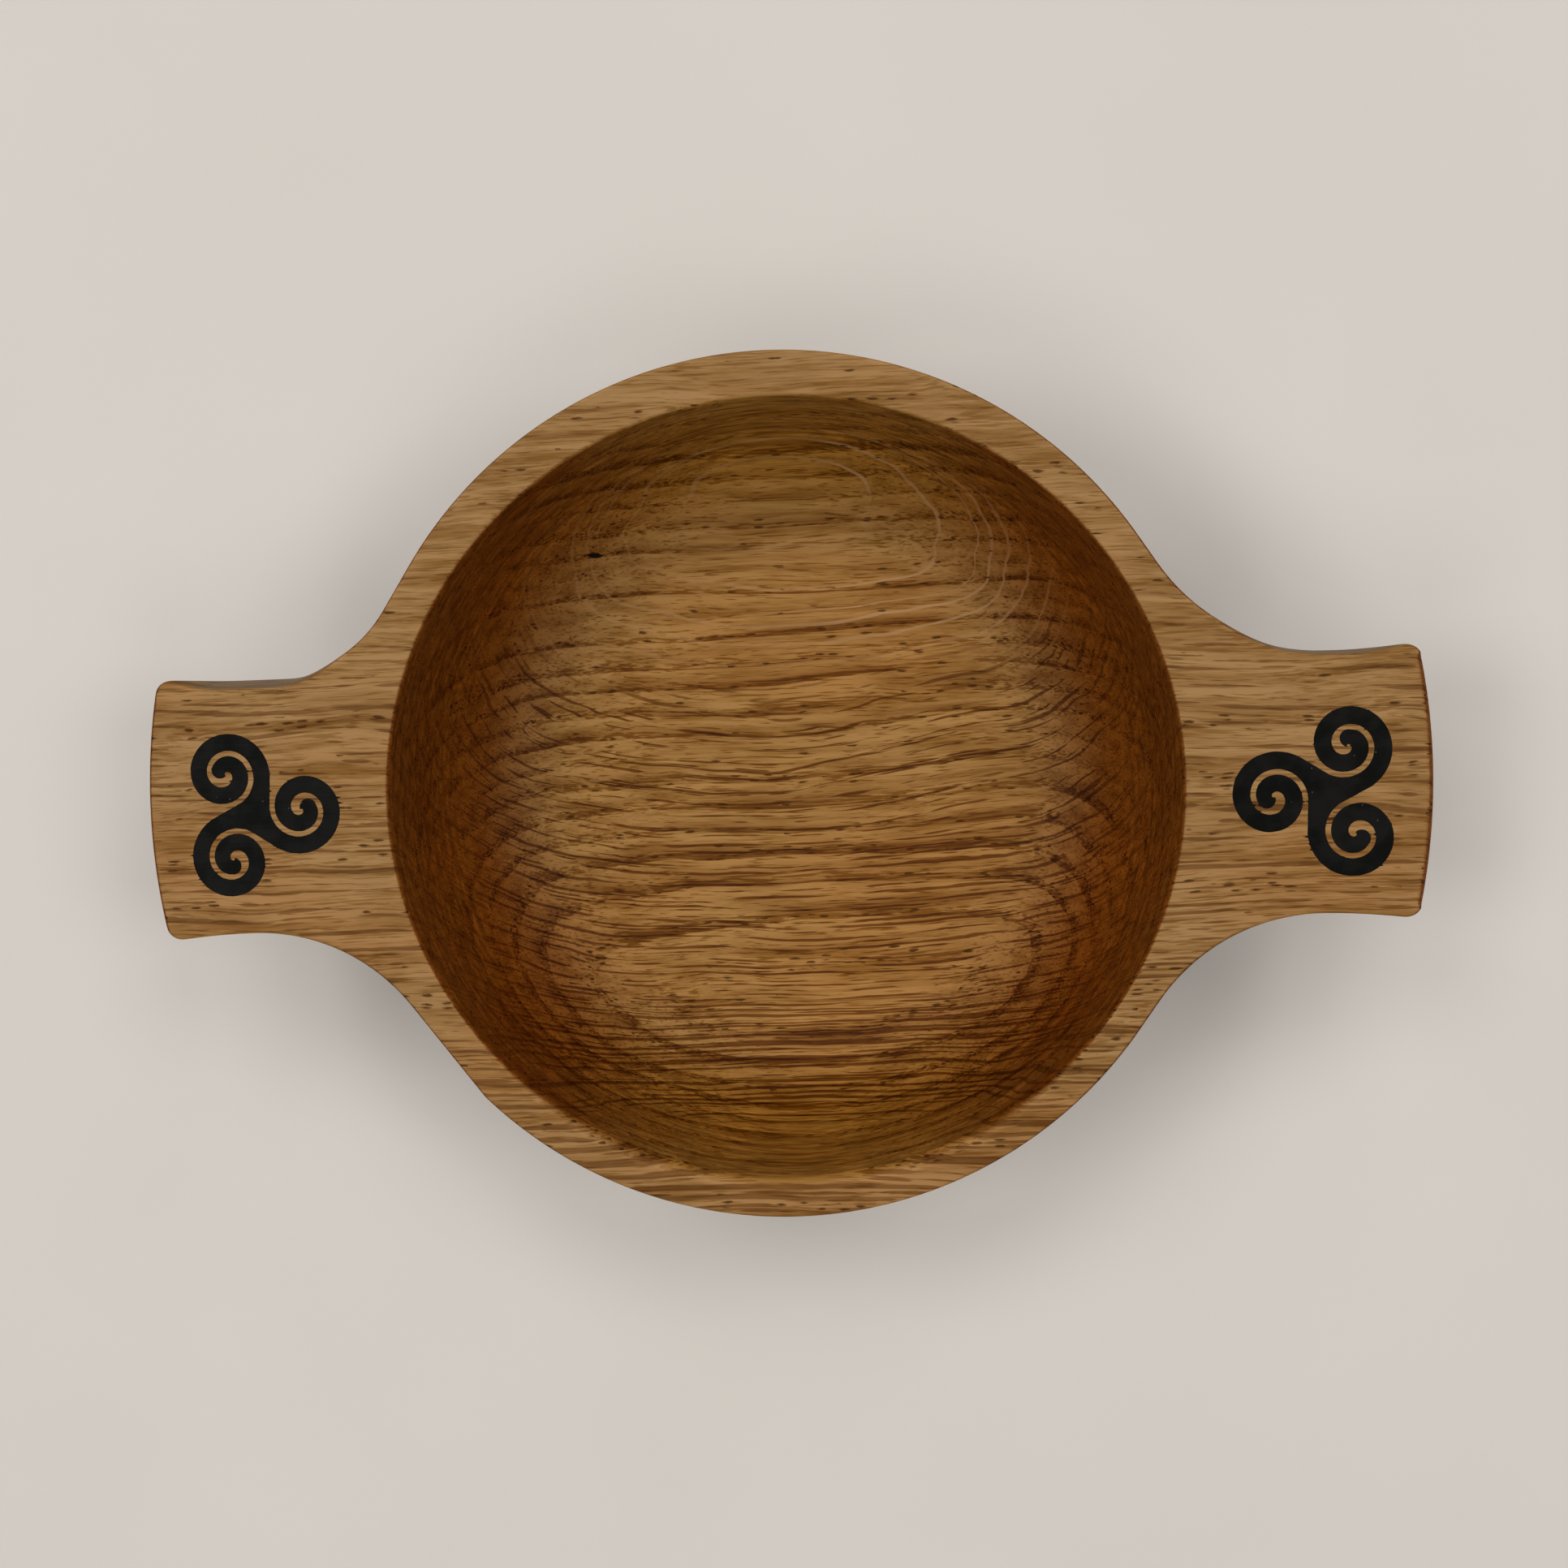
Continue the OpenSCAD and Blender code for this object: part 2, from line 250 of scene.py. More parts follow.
# %% Streaks and stains
TOP_HEIGHTS, TOP_CALM = (31, 38), 0.55
STREAK_CELLS, PATCH_CELLS, PATCHES = cells(7, 0.29, 0.29), cells(34, 3, 3), (0.4, 0.62)
STREAKS_BETWEEN, STREAKS_IN_BAND, STREAK_EDGE = 0.57, 0.42, (-0.02, 0.09)
TOP_MORE, TOP_FAINTER = 0.02, 0.3

on_top = add(RANGE, [height, *TOP_HEIGHTS], **SOFT)
below_top = add(RANGE, [height, *TOP_HEIGHTS, 1.0, 0.0], **SOFT)
calm_top = add(MATH, [on_top, -TOP_CALM, 1.0], operation="MULTIPLY_ADD")
clear_band = add(MATH, [clear_band, calm_top], operation="MULTIPLY")
streak_point = add(MAPPING, {"Vector": grain, "Scale": STREAK_CELLS})
streaks = add(NOISE, {"Vector": streak_point, "Scale": 1.0, "Detail": 3.0})
streak_limit = add(RANGE, [clear_band, 0.0, 1.0, STREAKS_BETWEEN, STREAKS_IN_BAND])
streak_limit = add(MATH, [on_top, -TOP_MORE, streak_limit], operation="MULTIPLY_ADD")
streaky = add(RANGE, [add(MATH, [streaks, streak_limit], operation="SUBTRACT"), *STREAK_EDGE], **SOFT)
faint_top = add(MATH, [on_top, -TOP_FAINTER, 1.0], operation="MULTIPLY_ADD")
streaky = add(MATH, [streaky, faint_top], operation="MULTIPLY")

# A stain comes and goes along the grain
patch_point = add(MAPPING, {"Vector": grain, "Scale": PATCH_CELLS})
patches = add(NOISE, {"Vector": patch_point, "Scale": 1.0, "Detail": 2.0})
stain_fall = add(RANGE, [phase, BAND_FULL, STAIN_END, 1.0, 0.0], **SOFT)
patchy = add(RANGE, [patches, *PATCHES], **SOFT)
thin_stain = add(RANGE, [lying, *LYING, 1.0, LYING_STAIN], **SOFT)
stain = add(MATH, [band_rise, stain_fall], operation="MULTIPLY")
for share in (patchy, thin_stain, calm_top):
    stain = add(MATH, [stain, share], operation="MULTIPLY")
print("streaks are about", round(1 / STREAK_CELLS[0]), "mm long")

# %% [markdown]
# ## Oak: pores
# A pore is a long thin vessel: a dash where the cut runs along the grain and a dot on the end grain. A
# Voronoi texture stretched along the grain gives one pore to each cell, and the random colour of the cell
# decides whether that pore is there. Most of them lie in the early part of a ring. Real pores, about 0.3 mm
# wide, are too fine to show well here, so these are drawn half as wide again.

# %% Pores
PORE_CELLS, PORE_BEND, BEND_CELLS = cells(2.6, 0.6, 0.6), 0.4, cells(0.9, 0.35, 0.35)
PORE_CORE, PORE_EDGE = 0.18, 0.4
STRAY_PORES, RING_PORES, CUT_PORES, PORES_CUT = 0.02, 0.5, 0.95, (0.06, 0.3)

bend_point = add(MAPPING, {"Vector": grain, "Scale": BEND_CELLS})
bend = add(NOISE, {"Vector": bend_point, "Scale": 1.0}, out="Color")
straight_pores = add(MAPPING, {"Vector": grain, "Scale": PORE_CELLS})
pore_point = add(VECTOR, [bend, (PORE_BEND,) * 3, straight_pores], operation="MULTIPLY_ADD")
pore_distance = add(CELLS, {"Vector": pore_point, "Scale": 1.0})
pore_colour = add(CELLS, {"Vector": pore_point, "Scale": 1.0}, out="Color")
pore_luck = add("ShaderNodeSeparateColor", [pore_colour])
in_band = add(RANGE, [end_share, *PORES_CUT, RING_PORES, CUT_PORES], **SOFT)
pore_chance = add(MATH, [band, in_band, STRAY_PORES], operation="MULTIPLY_ADD")
pore_there = add(MATH, [pore_luck, pore_chance], operation="LESS_THAN")
pore_shape = add(RANGE, [pore_distance, PORE_CORE, PORE_EDGE, 1.0, 0.0], **SOFT)
pores = add(MATH, [pore_shape, pore_there], operation="MULTIPLY")
print("pores are about", round(2 * PORE_EDGE / PORE_CELLS[1], 2), "mm wide")

# %% [markdown]
# ## Oak: rays
# A ray is a sheet one or two tenths of a millimetre thick. Cut across, it is a thin dark line with pointed
# ends. Where the surface lies along the sheet it shows its face, which is pale. The angle around the pith is
# divided into strips with one sheet each. A noise along the strip makes the sheet thicker and thinner, and
# where it falls under a limit there is no ray, which gives the pointed ends. Real sheets are too fine to
# show, so these are drawn a few times as thick. Broad and fine ones mix all over, and long ones lie low in
# the picture. Towards the top of the picture the hollow lies almost along the sheets, and there it shows
# long ones as pale arcs inside each other, clearest on the right.

# %% Ray sheets
RAY_RADIUS = 80
SWELL, NEXT_SHEET = 0.19, (17.3, 7.7)
SHEET_PLACES, SHEET_EDGE = (0.15, 0.85), (-0.15, 0.35)
GRAZED_THINNING = 0.97

lift = add(MATH, [normal_z, ray_y], operation="MULTIPLY")
facing = add(MATH, [add(MATH, [normal_y, ray_z], operation="MULTIPLY"), lift], operation="SUBTRACT")
facing = add(MATH, [add(MATH, [facing, ray_reach], operation="DIVIDE")], operation="ABSOLUTE")
slant = add(MATH, [add(MATH, [facing, -GRAZED_THINNING, 1.0], operation="MULTIPLY_ADD")], operation="SQRT")


def ray_sheets(spacing, length, tall, thickness, first, gaps):
    """Mask of ray sheets, one in each strip of this width at RAY_RADIUS from the pith."""
    strip = add(MATH, [ray_angle, RAY_RADIUS / spacing, first], operation="MULTIPLY_ADD")
    number = add(MATH, [strip], operation="FLOOR")
    jitter = add("ShaderNodeTexWhiteNoise", {"W": number}, noise_dimensions="1D")
    middle = add(RANGE, [jitter, 0.0, 1.0, *SHEET_PLACES])
    within = add(MATH, [strip], operation="FRACT")
    off_middle = add(MATH, [add(MATH, [within, middle], operation="SUBTRACT")], operation="ABSOLUTE")
    shift_x, shift_z = (add(MATH, [number, step], operation="MULTIPLY") for step in NEXT_SHEET)
    run = add(MATH, [along, 1 / length, shift_x], operation="MULTIPLY_ADD")
    spot = add(JOIN, [run, add(MATH, [ray_reach, tall], operation="DIVIDE"), shift_z])
    swell = add(NOISE, {"Vector": spot, "Scale": 1.0, "Detail": 2.0})
    widest = add(MATH, [slant, thickness / 2 / spacing], operation="MULTIPLY")
    half = add(MATH, [add(RANGE, [swell, gaps, gaps + SWELL], **SOFT), widest], operation="MULTIPLY")
    inside_by = add(MATH, [add(MATH, [half, off_middle], operation="SUBTRACT"), widest], operation="DIVIDE")
    return add(RANGE, [inside_by, *SHEET_EDGE], **SOFT)


print("ray sheets are laid out", RAY_RADIUS, "mm from their pith")

# %% Dark lines and pale arcs
BROAD_SHEETS = {"spacing": 1.5, "length": 15, "tall": 7, "thickness": 0.6, "first": 0.0, "gaps": 0.41}
FINE_SHEETS = {"spacing": 0.9, "length": 6, "tall": 4, "thickness": 0.36, "first": 40.5, "gaps": 0.45}
LONG_SHEETS = {"spacing": 1.9, "length": 60, "tall": 40, "thickness": 0.8, "first": 90.5, "gaps": 0.36}
PALE_SHEETS = {"spacing": 1.2, "length": 60, "tall": 40, "thickness": 0.48, "first": 20.5, "gaps": 0.3}
LONG_BELOW, PALE_ABOVE, PALE_SHARE = (-31, -26), (17, 29), 0.75
RAYS_CUT, RAYS_CUT_SHARES = (0.5, 0.95), (0.95, 0.4)
HIGH_RAYS, HIGH_RAYS_SHARE = (30, 40), 0.75
LINE_FACING, ARC_FACING, GRAZED, GRAZED_SHARE = (0.8, 0.9), (0.6, 0.8), (0.93, 0.985), 0.15
ARC_SIDE, ARC_SHARES = (-5, 15), (0.3, 0.7)

rays = add(MATH, [ray_sheets(**BROAD_SHEETS), ray_sheets(**FINE_SHEETS)], operation="MAXIMUM")
low_side = add(RANGE, [across, *LONG_BELOW, 1.0, 0.0], **SOFT)
long_rays = add(MATH, [ray_sheets(**LONG_SHEETS), low_side], operation="MULTIPLY")
rays = add(MATH, [rays, long_rays], operation="MAXIMUM")
for share in (add(RANGE, [end_share, *RAYS_CUT, *RAYS_CUT_SHARES], **SOFT),
              add(RANGE, [up, *HIGH_RAYS, 1.0, HIGH_RAYS_SHARE], **SOFT)):
    rays = add(MATH, [rays, share], operation="MULTIPLY")

# Towards the top of the picture the sheets show more of their faces, so they turn from dark to pale
faces_up = add(RANGE, [across, *PALE_ABOVE], **SOFT)
edge_on = add(MATH, [faces_up, -PALE_SHARE, 1.0], operation="MULTIPLY_ADD")
edge_on = add(MATH, [edge_on, add(RANGE, [facing, *LINE_FACING, 1.0, 0.0], **SOFT)], operation="MULTIPLY")
dark_rays = add(MATH, [rays, edge_on], operation="MULTIPLY")
pale_rays = ray_sheets(**PALE_SHEETS)
for share in (faces_up, below_top, add(RANGE, [along, *ARC_SIDE, *ARC_SHARES], **SOFT),
              add(RANGE, [facing, *ARC_FACING], **SOFT),
              add(RANGE, [facing, *GRAZED, 1.0, GRAZED_SHARE], **SOFT)):
    pale_rays = add(MATH, [pale_rays, share], operation="MULTIPLY")
print("the oak tree now has", len(oak.node_tree.nodes), "nodes")

# %% [markdown]
# ## Oak: colour
# Oiled oak is a warm brown. Fine fibres streak it along the grain, and it drifts from yellowish to reddish
# over centimetres. Inside the hollow a tint gives a richer oil colour together with a painted lift of light.
# The steep sides get a warmer tint that is painted shade, standing for the warm shade and bounce light on
# them, and on the side that is low in the picture the floor gets painted light and the wall painted shade.
# Single fibres are far too fine to show, so they are drawn as streaks 0.3 mm wide. The ground colour is mixed
# first.
# Then come the marks in the order in which they lie on the wood: stains, streaks, rays and pores. A colour
# is a hex value, and a tint is a share of red, green and blue that the colour under it is multiplied by.

# %% Ground colour
PALE, DEEP, REDDISH = linear("#9C774B"), linear("#7A5425"), (1.0, 0.93, 0.84, 1)
INSIDE_OIL_AND_LIGHT, STEEP_WARM_SHADE, STEEP = (1.05, 1.0, 0.8, 1), (1.08, 0.98, 0.55, 1), (0.4, 0.9)
FIBRE_CELLS, FIBRE_SHARE, BROAD_CELLS, TONES = cells(4.5, 0.3, 0.3), 0.5, cells(24, 1.6, 1.6), (0.52, 0.86)
DRIFT_CELLS, DRIFT_FALL, DRIFTS = cells(40, 22, 22), 350, (0.42, 0.68)
LOW_WALL_SHADE, LOW_FLOOR, LOW_FLOOR_PAINTED_LIGHT = 0.85, (0.03, 0.2), 1.14

fibre_point = add(MAPPING, {"Vector": grain, "Scale": FIBRE_CELLS})
fibre = add(NOISE, {"Vector": fibre_point, "Scale": 1.0, "Detail": 3.0})
broad_point = add(MAPPING, {"Vector": grain, "Scale": BROAD_CELLS})
broad = add(NOISE, {"Vector": broad_point, "Scale": 1.0, "Detail": 4.0})
tone = add(MATH, [fibre, FIBRE_SHARE, broad], operation="MULTIPLY_ADD")
ground = add(MIX, {0: add(RANGE, [tone, *TONES]), 6: DEEP, 7: PALE}, **COLOUR)
drift_point = add(MAPPING, {"Vector": straight, "Scale": DRIFT_CELLS})
drift = add(NOISE, {"Vector": drift_point, "Scale": 1.0, "Detail": 1.0})
drift = add(MATH, [place_y, -1 / DRIFT_FALL, drift], operation="MULTIPLY_ADD")
redness = add(RANGE, [drift, *DRIFTS], **SOFT)
# Steep faces get a warm tint that is painted shade and bounce light
steep = add(RANGE, [lean_share, *STEEP], **SOFT)
# Inside the hollow: a richer oil colour and a painted lift of light
for share, tint in ((redness, REDDISH), (below_top, INSIDE_OIL_AND_LIGHT), (steep, STEEP_WARM_SHADE)):
    ground = add(MIX, {0: share, 6: ground, 7: tint}, blend_type="MULTIPLY", **COLOUR)

# Painted light and shade: on the side that is low in the picture the floor slope is lighter and the wall
# darker
painted_low_wall_shade = add(RANGE, [normal_y, *STEEP, 1.0, LOW_WALL_SHADE], **SOFT)
painted_low_floor_light = add(RANGE, [normal_y, *LOW_FLOOR, 1.0, LOW_FLOOR_PAINTED_LIGHT], **SOFT)
low_side_painted_light = add(MATH, [painted_low_wall_shade, painted_low_floor_light], operation="MULTIPLY")
ground = add(VECTOR, {0: ground, "Scale": low_side_painted_light}, operation="SCALE")
print("oak's palest ground in linear light:", [round(c, 3) for c in PALE[:3]])

# %% Stains, streaks, rays and pores
STAIN, STREAK, RAY_LINE = (0.58, 0.46, 0.26, 1), (0.55, 0.43, 0.2, 1), (0.36, 0.23, 0.07, 1)
RAY_FACE, PORE, PORE_SHARE = linear("#A9835A"), linear("#3A1D04"), 0.85

marked = ground
for share, tint in ((stain, STAIN), (streaky, STREAK), (dark_rays, RAY_LINE)):
    marked = add(MIX, {0: share, 6: marked, 7: tint}, blend_type="MULTIPLY", **COLOUR)
dark_pores = add(MATH, [pores, PORE_SHARE], operation="MULTIPLY")
for share, colour in ((pale_rays, RAY_FACE), (dark_pores, PORE)):
    marked = add(MIX, {0: share, 6: marked, 7: colour}, **COLOUR)
print("the oak tree now has", len(oak.node_tree.nodes), "nodes")

# %% [markdown]
# ## Oak: end grain, the maker's traces and a painted reflection
# Where the vessels are cut across they drink oil like straws, so the walls at both sides turn a very dark
# brown, and so do the edges of the mouth there and the ends of the lugs. The gouge left fine rings on the
# steep wall, and at the upper left of the floor there is one small dark slit. The facets along the lugs'
# upper sides are bare and sanded, and the grey reflection that they catch is painted into their colour.
# Where it lies is stored in the mesh, as an attribute that is made together with the body.

# %% End grain
END_GRAIN = (0.52, 0.29, 0.09, 1)
MOUTH_Z, RIM_WITHIN, LUG_END_FROM = 36, 60, 78
WALL_ENDS, MOUTH_ENDS, LUG_ENDS, LUG_CORNERS = (0.09, 0.8), (0.25, 0.6), (0.2, 0.55), (0.2, 0.5)

from_middle = add(MATH, [place_x], operation="ABSOLUTE")
mouth_edge = add(RANGE, [end_share, *MOUTH_ENDS], **SOFT)
for share in (add(MATH, [height, MOUTH_Z], operation="GREATER_THAN"),
              add(MATH, [from_middle, RIM_WITHIN], operation="LESS_THAN")):
    mouth_edge = add(MATH, [mouth_edge, share], operation="MULTIPLY")
lug_end = add(RANGE, [end_share, *LUG_ENDS], **SOFT)
for share in (add(MATH, [from_middle, LUG_END_FROM], operation="GREATER_THAN"),
              add(RANGE, [lean_share, *LUG_CORNERS, 1.0, 0.0], **SOFT)):
    lug_end = add(MATH, [lug_end, share], operation="MULTIPLY")
end_grain = add(RANGE, [end_share, *WALL_ENDS], **SOFT)
for share in (mouth_edge, lug_end):
    end_grain = add(MATH, [end_grain, share], operation="MAXIMUM")
ended = add(MIX, {0: end_grain, 6: marked, 7: END_GRAIN}, blend_type="MULTIPLY", **COLOUR)
print("the oak tree now has", len(oak.node_tree.nodes), "nodes")

# %% Tool marks, slit and painted reflection on the sanded facets
TOOL_TURN, TOOL_STEP, TOOL_MARK, TOOL_NOISE, TOOL_STEEP = 9, 0.8, 0.5, (0.25, 0.75), (0.3, 0.75)
SLIT, SLIT_PLACE, SLIT_HALF, SLIT_EDGE = linear("#140802"), (-27, 34.5), (1.3, 0.42), (0.65, 1.05)
FACET_REFLECTION_GREY = linear("#6B5F50")

bearing = add(MATH, [add(MATH, [place_y, place_x], operation="ARCTAN2"), TOOL_TURN], operation="MULTIPLY")
tool_point = add(JOIN, [bearing, add(MATH, [height, TOOL_STEP], operation="DIVIDE")])
tool_marks = add(NOISE, {"Vector": tool_point, "Scale": 1.0, "Detail": 4.0})
tool_marks = add(RANGE, [tool_marks, *TOOL_NOISE, 1 - TOOL_MARK, 1 + TOOL_MARK])
level = add(MATH, [normal_z], operation="ABSOLUTE")
on_wall = add(RANGE, [level, *TOOL_STEEP, 1.0, 0.0], **SOFT)
ringed = add(VECTOR, {0: ended, "Scale": tool_marks}, operation="SCALE")
tooled = add(MIX, {0: on_wall, 6: ended, 7: ringed}, **COLOUR)
slit_x, slit_y = (add(MATH, [add(MATH, [place, middle], operation="SUBTRACT"), half], operation="DIVIDE")
                  for place, middle, half in zip((place_x, place_y), SLIT_PLACE, SLIT_HALF))
slit_across = add(MATH, [slit_y], operation="ABSOLUTE")
slit_distance = add(MATH, [slit_x, slit_x, slit_across], operation="MULTIPLY_ADD")
slit = add(RANGE, [slit_distance, *SLIT_EDGE, 1.0, 0.0], **SOFT)
slit = add(MATH, [slit, add(MATH, [normal_z, 0.0], operation="GREATER_THAN")], operation="MULTIPLY")
slitted = add(MIX, {0: slit, 6: tooled, 7: SLIT}, **COLOUR)
# The sanded facets get a grey reflection painted into their colour, by the share stored in the mesh
sanded = add("ShaderNodeAttribute", out="Fac", attribute_name="sanded")
oak_colour = add(MIX, {0: sanded, 6: slitted, 7: FACET_REFLECTION_GREY}, **COLOUR)
print("the oak tree now has", len(oak.node_tree.nodes), "nodes")

# %% [markdown]
# ## Oak: sheen and relief
# Pores are open and rays stand a little lower than the wood beside them, so both dent the surface. The oil
# leaves a satin sheen, which the open pores break.

# %% Oak surface
RELIEF, RELIEF_STRENGTH = 0.12, 0.5
FIBRE_RISE, PORE_DENT, RAY_DENT, SLIT_DENT = 0.35, -1.0, -0.25, -2.0
FIBRES_FROM, FIBRES_TO, SATIN, MATT, PORE_MATT = 0.2, 0.8, 0.45, 0.58, 0.25
OAK_IOR, OAK_SPECULAR = 1.5, 0.06

dents = add(MATH, [fibre, FIBRE_RISE], operation="MULTIPLY")
for mark, depth in ((pores, PORE_DENT), (rays, RAY_DENT), (slit, SLIT_DENT)):
    dents = add(MATH, [mark, depth, dents], operation="MULTIPLY_ADD")
oak_relief = add("ShaderNodeBump", {"Strength": RELIEF_STRENGTH, "Distance": RELIEF * MM, "Height": dents})
oak_satin = add(RANGE, [fibre, FIBRES_FROM, FIBRES_TO, SATIN, MATT])
oak_satin = add(MATH, [pores, PORE_MATT, oak_satin], operation="MULTIPLY_ADD")
oiled = add("ShaderNodeBsdfPrincipled", {"Base Color": oak_colour, "Roughness": oak_satin, "IOR": OAK_IOR,
                                        "Specular IOR Level": OAK_SPECULAR, "Normal": oak_relief})
add("ShaderNodeOutputMaterial", {"Surface": oiled})
print("oak has", len(oak.node_tree.nodes), "nodes")

# %% [markdown]
# ## Black resin
# The inlays are pigmented resin, poured, cured and ground flush with the wood. Grinding leaves a satin face
# with fine scratches and opens a few tiny bubbles, each with a glint painted in as a pale grey spot. It is
# nearly black, so what is seen is mostly its soft sheen. The scratches are drawn a few times as wide as real
# ones, which would be too fine to show.

# %% Resin material
BUBBLE_CELLS, CLOUD_CELLS, SCRATCH_CELLS = cells(0.9, 0.9, 0.9), cells(3, 3, 3), cells(6, 0.15, 0.15)
BUBBLE_SHARE, BUBBLE_EDGE, BUBBLE_GLINT = 0.12, (0.06, 0.14), linear("#4A4640")
BLACK, WORN_BLACK, CLOUDS = linear("#030302"), linear("#100F0E"), (0.35, 0.65)
SCRATCHES, GROUND_SATIN = (0.2, 0.8), (0.4, 0.6)
BUBBLE_DENT, RESIN_RELIEF, RESIN_STRENGTH = -2.0, 0.08, 0.3
RESIN_IOR, RESIN_SPECULAR = 1.52, 0.04

resin, add = new_material("ground_black_resin")
spot = add(MAPPING, {"Vector": add(COORDINATES, out="Object"), "Scale": (1 / MM,) * 3})
cloud_point, bubble_point, scratch_point = (add(MAPPING, {"Vector": spot, "Scale": scale})
                                            for scale in (CLOUD_CELLS, BUBBLE_CELLS, SCRATCH_CELLS))
cloud = add(NOISE, {"Vector": cloud_point, "Scale": 1.0, "Detail": 3.0})
bubble_distance = add(CELLS, {"Vector": bubble_point, "Scale": 1.0})
bubble_colour = add(CELLS, {"Vector": bubble_point, "Scale": 1.0}, out="Color")
bubble_luck = add("ShaderNodeSeparateColor", [bubble_colour])
bubble_there = add(MATH, [bubble_luck, BUBBLE_SHARE], operation="LESS_THAN")
bubbles = add(RANGE, [bubble_distance, *BUBBLE_EDGE, 1.0, 0.0], **SOFT)
bubbles = add(MATH, [bubbles, bubble_there], operation="MULTIPLY")
scratches = add(NOISE, {"Vector": scratch_point, "Scale": 1.0, "Detail": 2.0})
black = add(MIX, {0: add(RANGE, [cloud, *CLOUDS], **SOFT), 6: BLACK, 7: WORN_BLACK}, **COLOUR)
# A painted glint: each opened bubble gets a pale grey spot
black = add(MIX, {0: bubbles, 6: black, 7: BUBBLE_GLINT}, **COLOUR)
resin_satin = add(RANGE, [scratches, *SCRATCHES, *GROUND_SATIN])
pits = add(MATH, [bubbles, BUBBLE_DENT, scratches], operation="MULTIPLY_ADD")
resin_relief = add("ShaderNodeBump", {"Strength": RESIN_STRENGTH, "Distance": RESIN_RELIEF * MM,
                                      "Height": pits})
ground_flush = add("ShaderNodeBsdfPrincipled", {"Base Color": black, "Roughness": resin_satin,
                                               "IOR": RESIN_IOR, "Specular IOR Level": RESIN_SPECULAR,
                                               "Normal": resin_relief})
add("ShaderNodeOutputMaterial", {"Surface": ground_flush})
print("resin has", len(resin.node_tree.nodes), "nodes")

# %% [markdown]
# ## The triskele as a rule
# Each of the three arms winds inwards at a steady rate around its own eye: an Archimedean spiral. So the
# whole outline follows from a few sizes, and Geometry Nodes can hold it as a rule with named inputs. A
# circle gives a closed curve with the right number of points, and each point is moved to its place by its
# index: first the outer edge of an arm, then its round tip, then the inner edge back. The same tree, with a
# slightly wider arm, makes the cutter for the pocket.

# %% Sizes of the inlay
EYE_REACH, ARM_W, ARM_GAP, TIP_REACH = 6.65, 2.3, 0.7, 0.9
INLAY_DEPTH, RESIN_SHRINKAGE, INLAY_TURN = 3, 0.02, math.radians(4.9)
ARMS = 3
TURN = 2 * math.pi
EDGE_POINTS, TIP_POINTS = 150, 16
ARM_POINTS = 2 * EDGE_POINTS + TIP_POINTS
OUTLINE_STEP = 0.12
arm_pitch = ARM_W + ARM_GAP
winding = TURN * (EYE_REACH - ARM_W / 2 - TIP_REACH) / arm_pitch
eye_spacing = 2 * EYE_REACH * math.sin(math.pi / ARMS)
side_angle = math.pi / 2 - math.pi / ARMS


def arm_r(t):
    """Distance of an arm's middle line from its eye after winding by t."""
    return EYE_REACH - ARM_W / 2 - arm_pitch * t / TURN


def parting(t):
    """Angle at which an arm's edge leaves for the next arm."""
    return math.acos(min(1, (arm_r(0) + arm_r(t)) / eye_spacing))


arm_parting = parting(side_angle + parting(side_angle))
print(f"an arm winds by {math.degrees(winding):.0f} degrees and parts at {math.degrees(arm_parting):.1f}")

# %% Inputs of the Geometry Nodes tree
FLOAT_INPUTS = {"Arm width": ARM_W, "Bottom": 0.0, "Top": 1.0, "Turn": 0.0, "Creep": 0.8, "Ragged edge": 0.05}

triskele_tree = bpy.data.node_groups.new("triskele", "GeometryNodeTree")
triskele_tree.interface.new_socket("Geometry", in_out="OUTPUT", socket_type="NodeSocketGeometry")
socket_id = {}
for kind, names in {"Float": FLOAT_INPUTS, "Vector": ["Place"], "Material": ["Material"]}.items():
    for name in names:
        made = triskele_tree.interface.new_socket(name, in_out="INPUT", socket_type="NodeSocket" + kind)
        socket_id[name] = made.identifier
        if name in FLOAT_INPUTS:
            made.default_value = FLOAT_INPUTS[name]
add = node_adder(triskele_tree)
given = triskele_tree.nodes.new("NodeGroupInput").outputs
print("the tree's inputs:", list(socket_id))

# %% Outline by index
SWITCH = "GeometryNodeSwitch"
BACK_FIRST = EDGE_POINTS + TIP_POINTS
HALF_STEP = 0.5

index = add("GeometryNodeInputIndex")
arm_number = add(MATH, [add(MATH, [index, ARM_POINTS], operation="DIVIDE")], operation="FLOOR")
step = add(MATH, [arm_number, -ARM_POINTS, index], operation="MULTIPLY_ADD")
half_w = add(MATH, [given["Arm width"], 0.5], operation="MULTIPLY")
on_way_back = add(MATH, [step, BACK_FIRST - HALF_STEP], operation="GREATER_THAN")
past_edge = add(MATH, [step, EDGE_POINTS - HALF_STEP], operation="GREATER_THAN")
on_tip = add(MATH, [past_edge, on_way_back], operation="SUBTRACT")
out_angle = add(RANGE, [step, 0, EDGE_POINTS - 1, side_angle + arm_parting, winding])
back_angle = add(RANGE, [step, BACK_FIRST, ARM_POINTS - 1, winding, arm_parting - side_angle])
spiral_angle = add(SWITCH, [on_way_back, out_angle, back_angle], input_type="FLOAT")
tip_angle = add(RANGE, [step, EDGE_POINTS - 1, BACK_FIRST, winding, winding + math.pi])
edge_sign = add(MATH, [on_way_back, -2.0, 1.0], operation="MULTIPLY_ADD")
spiral_r = add(MATH, [spiral_angle, -arm_pitch / TURN, EYE_REACH - ARM_W / 2], operation="MULTIPLY_ADD")
edge_r = add(MATH, [half_w, edge_sign, spiral_r], operation="MULTIPLY_ADD")
point_angle = add(SWITCH, [on_tip, spiral_angle, tip_angle], input_type="FLOAT")
point_r = add(SWITCH, [on_tip, edge_r, half_w], input_type="FLOAT")
steps_out = []
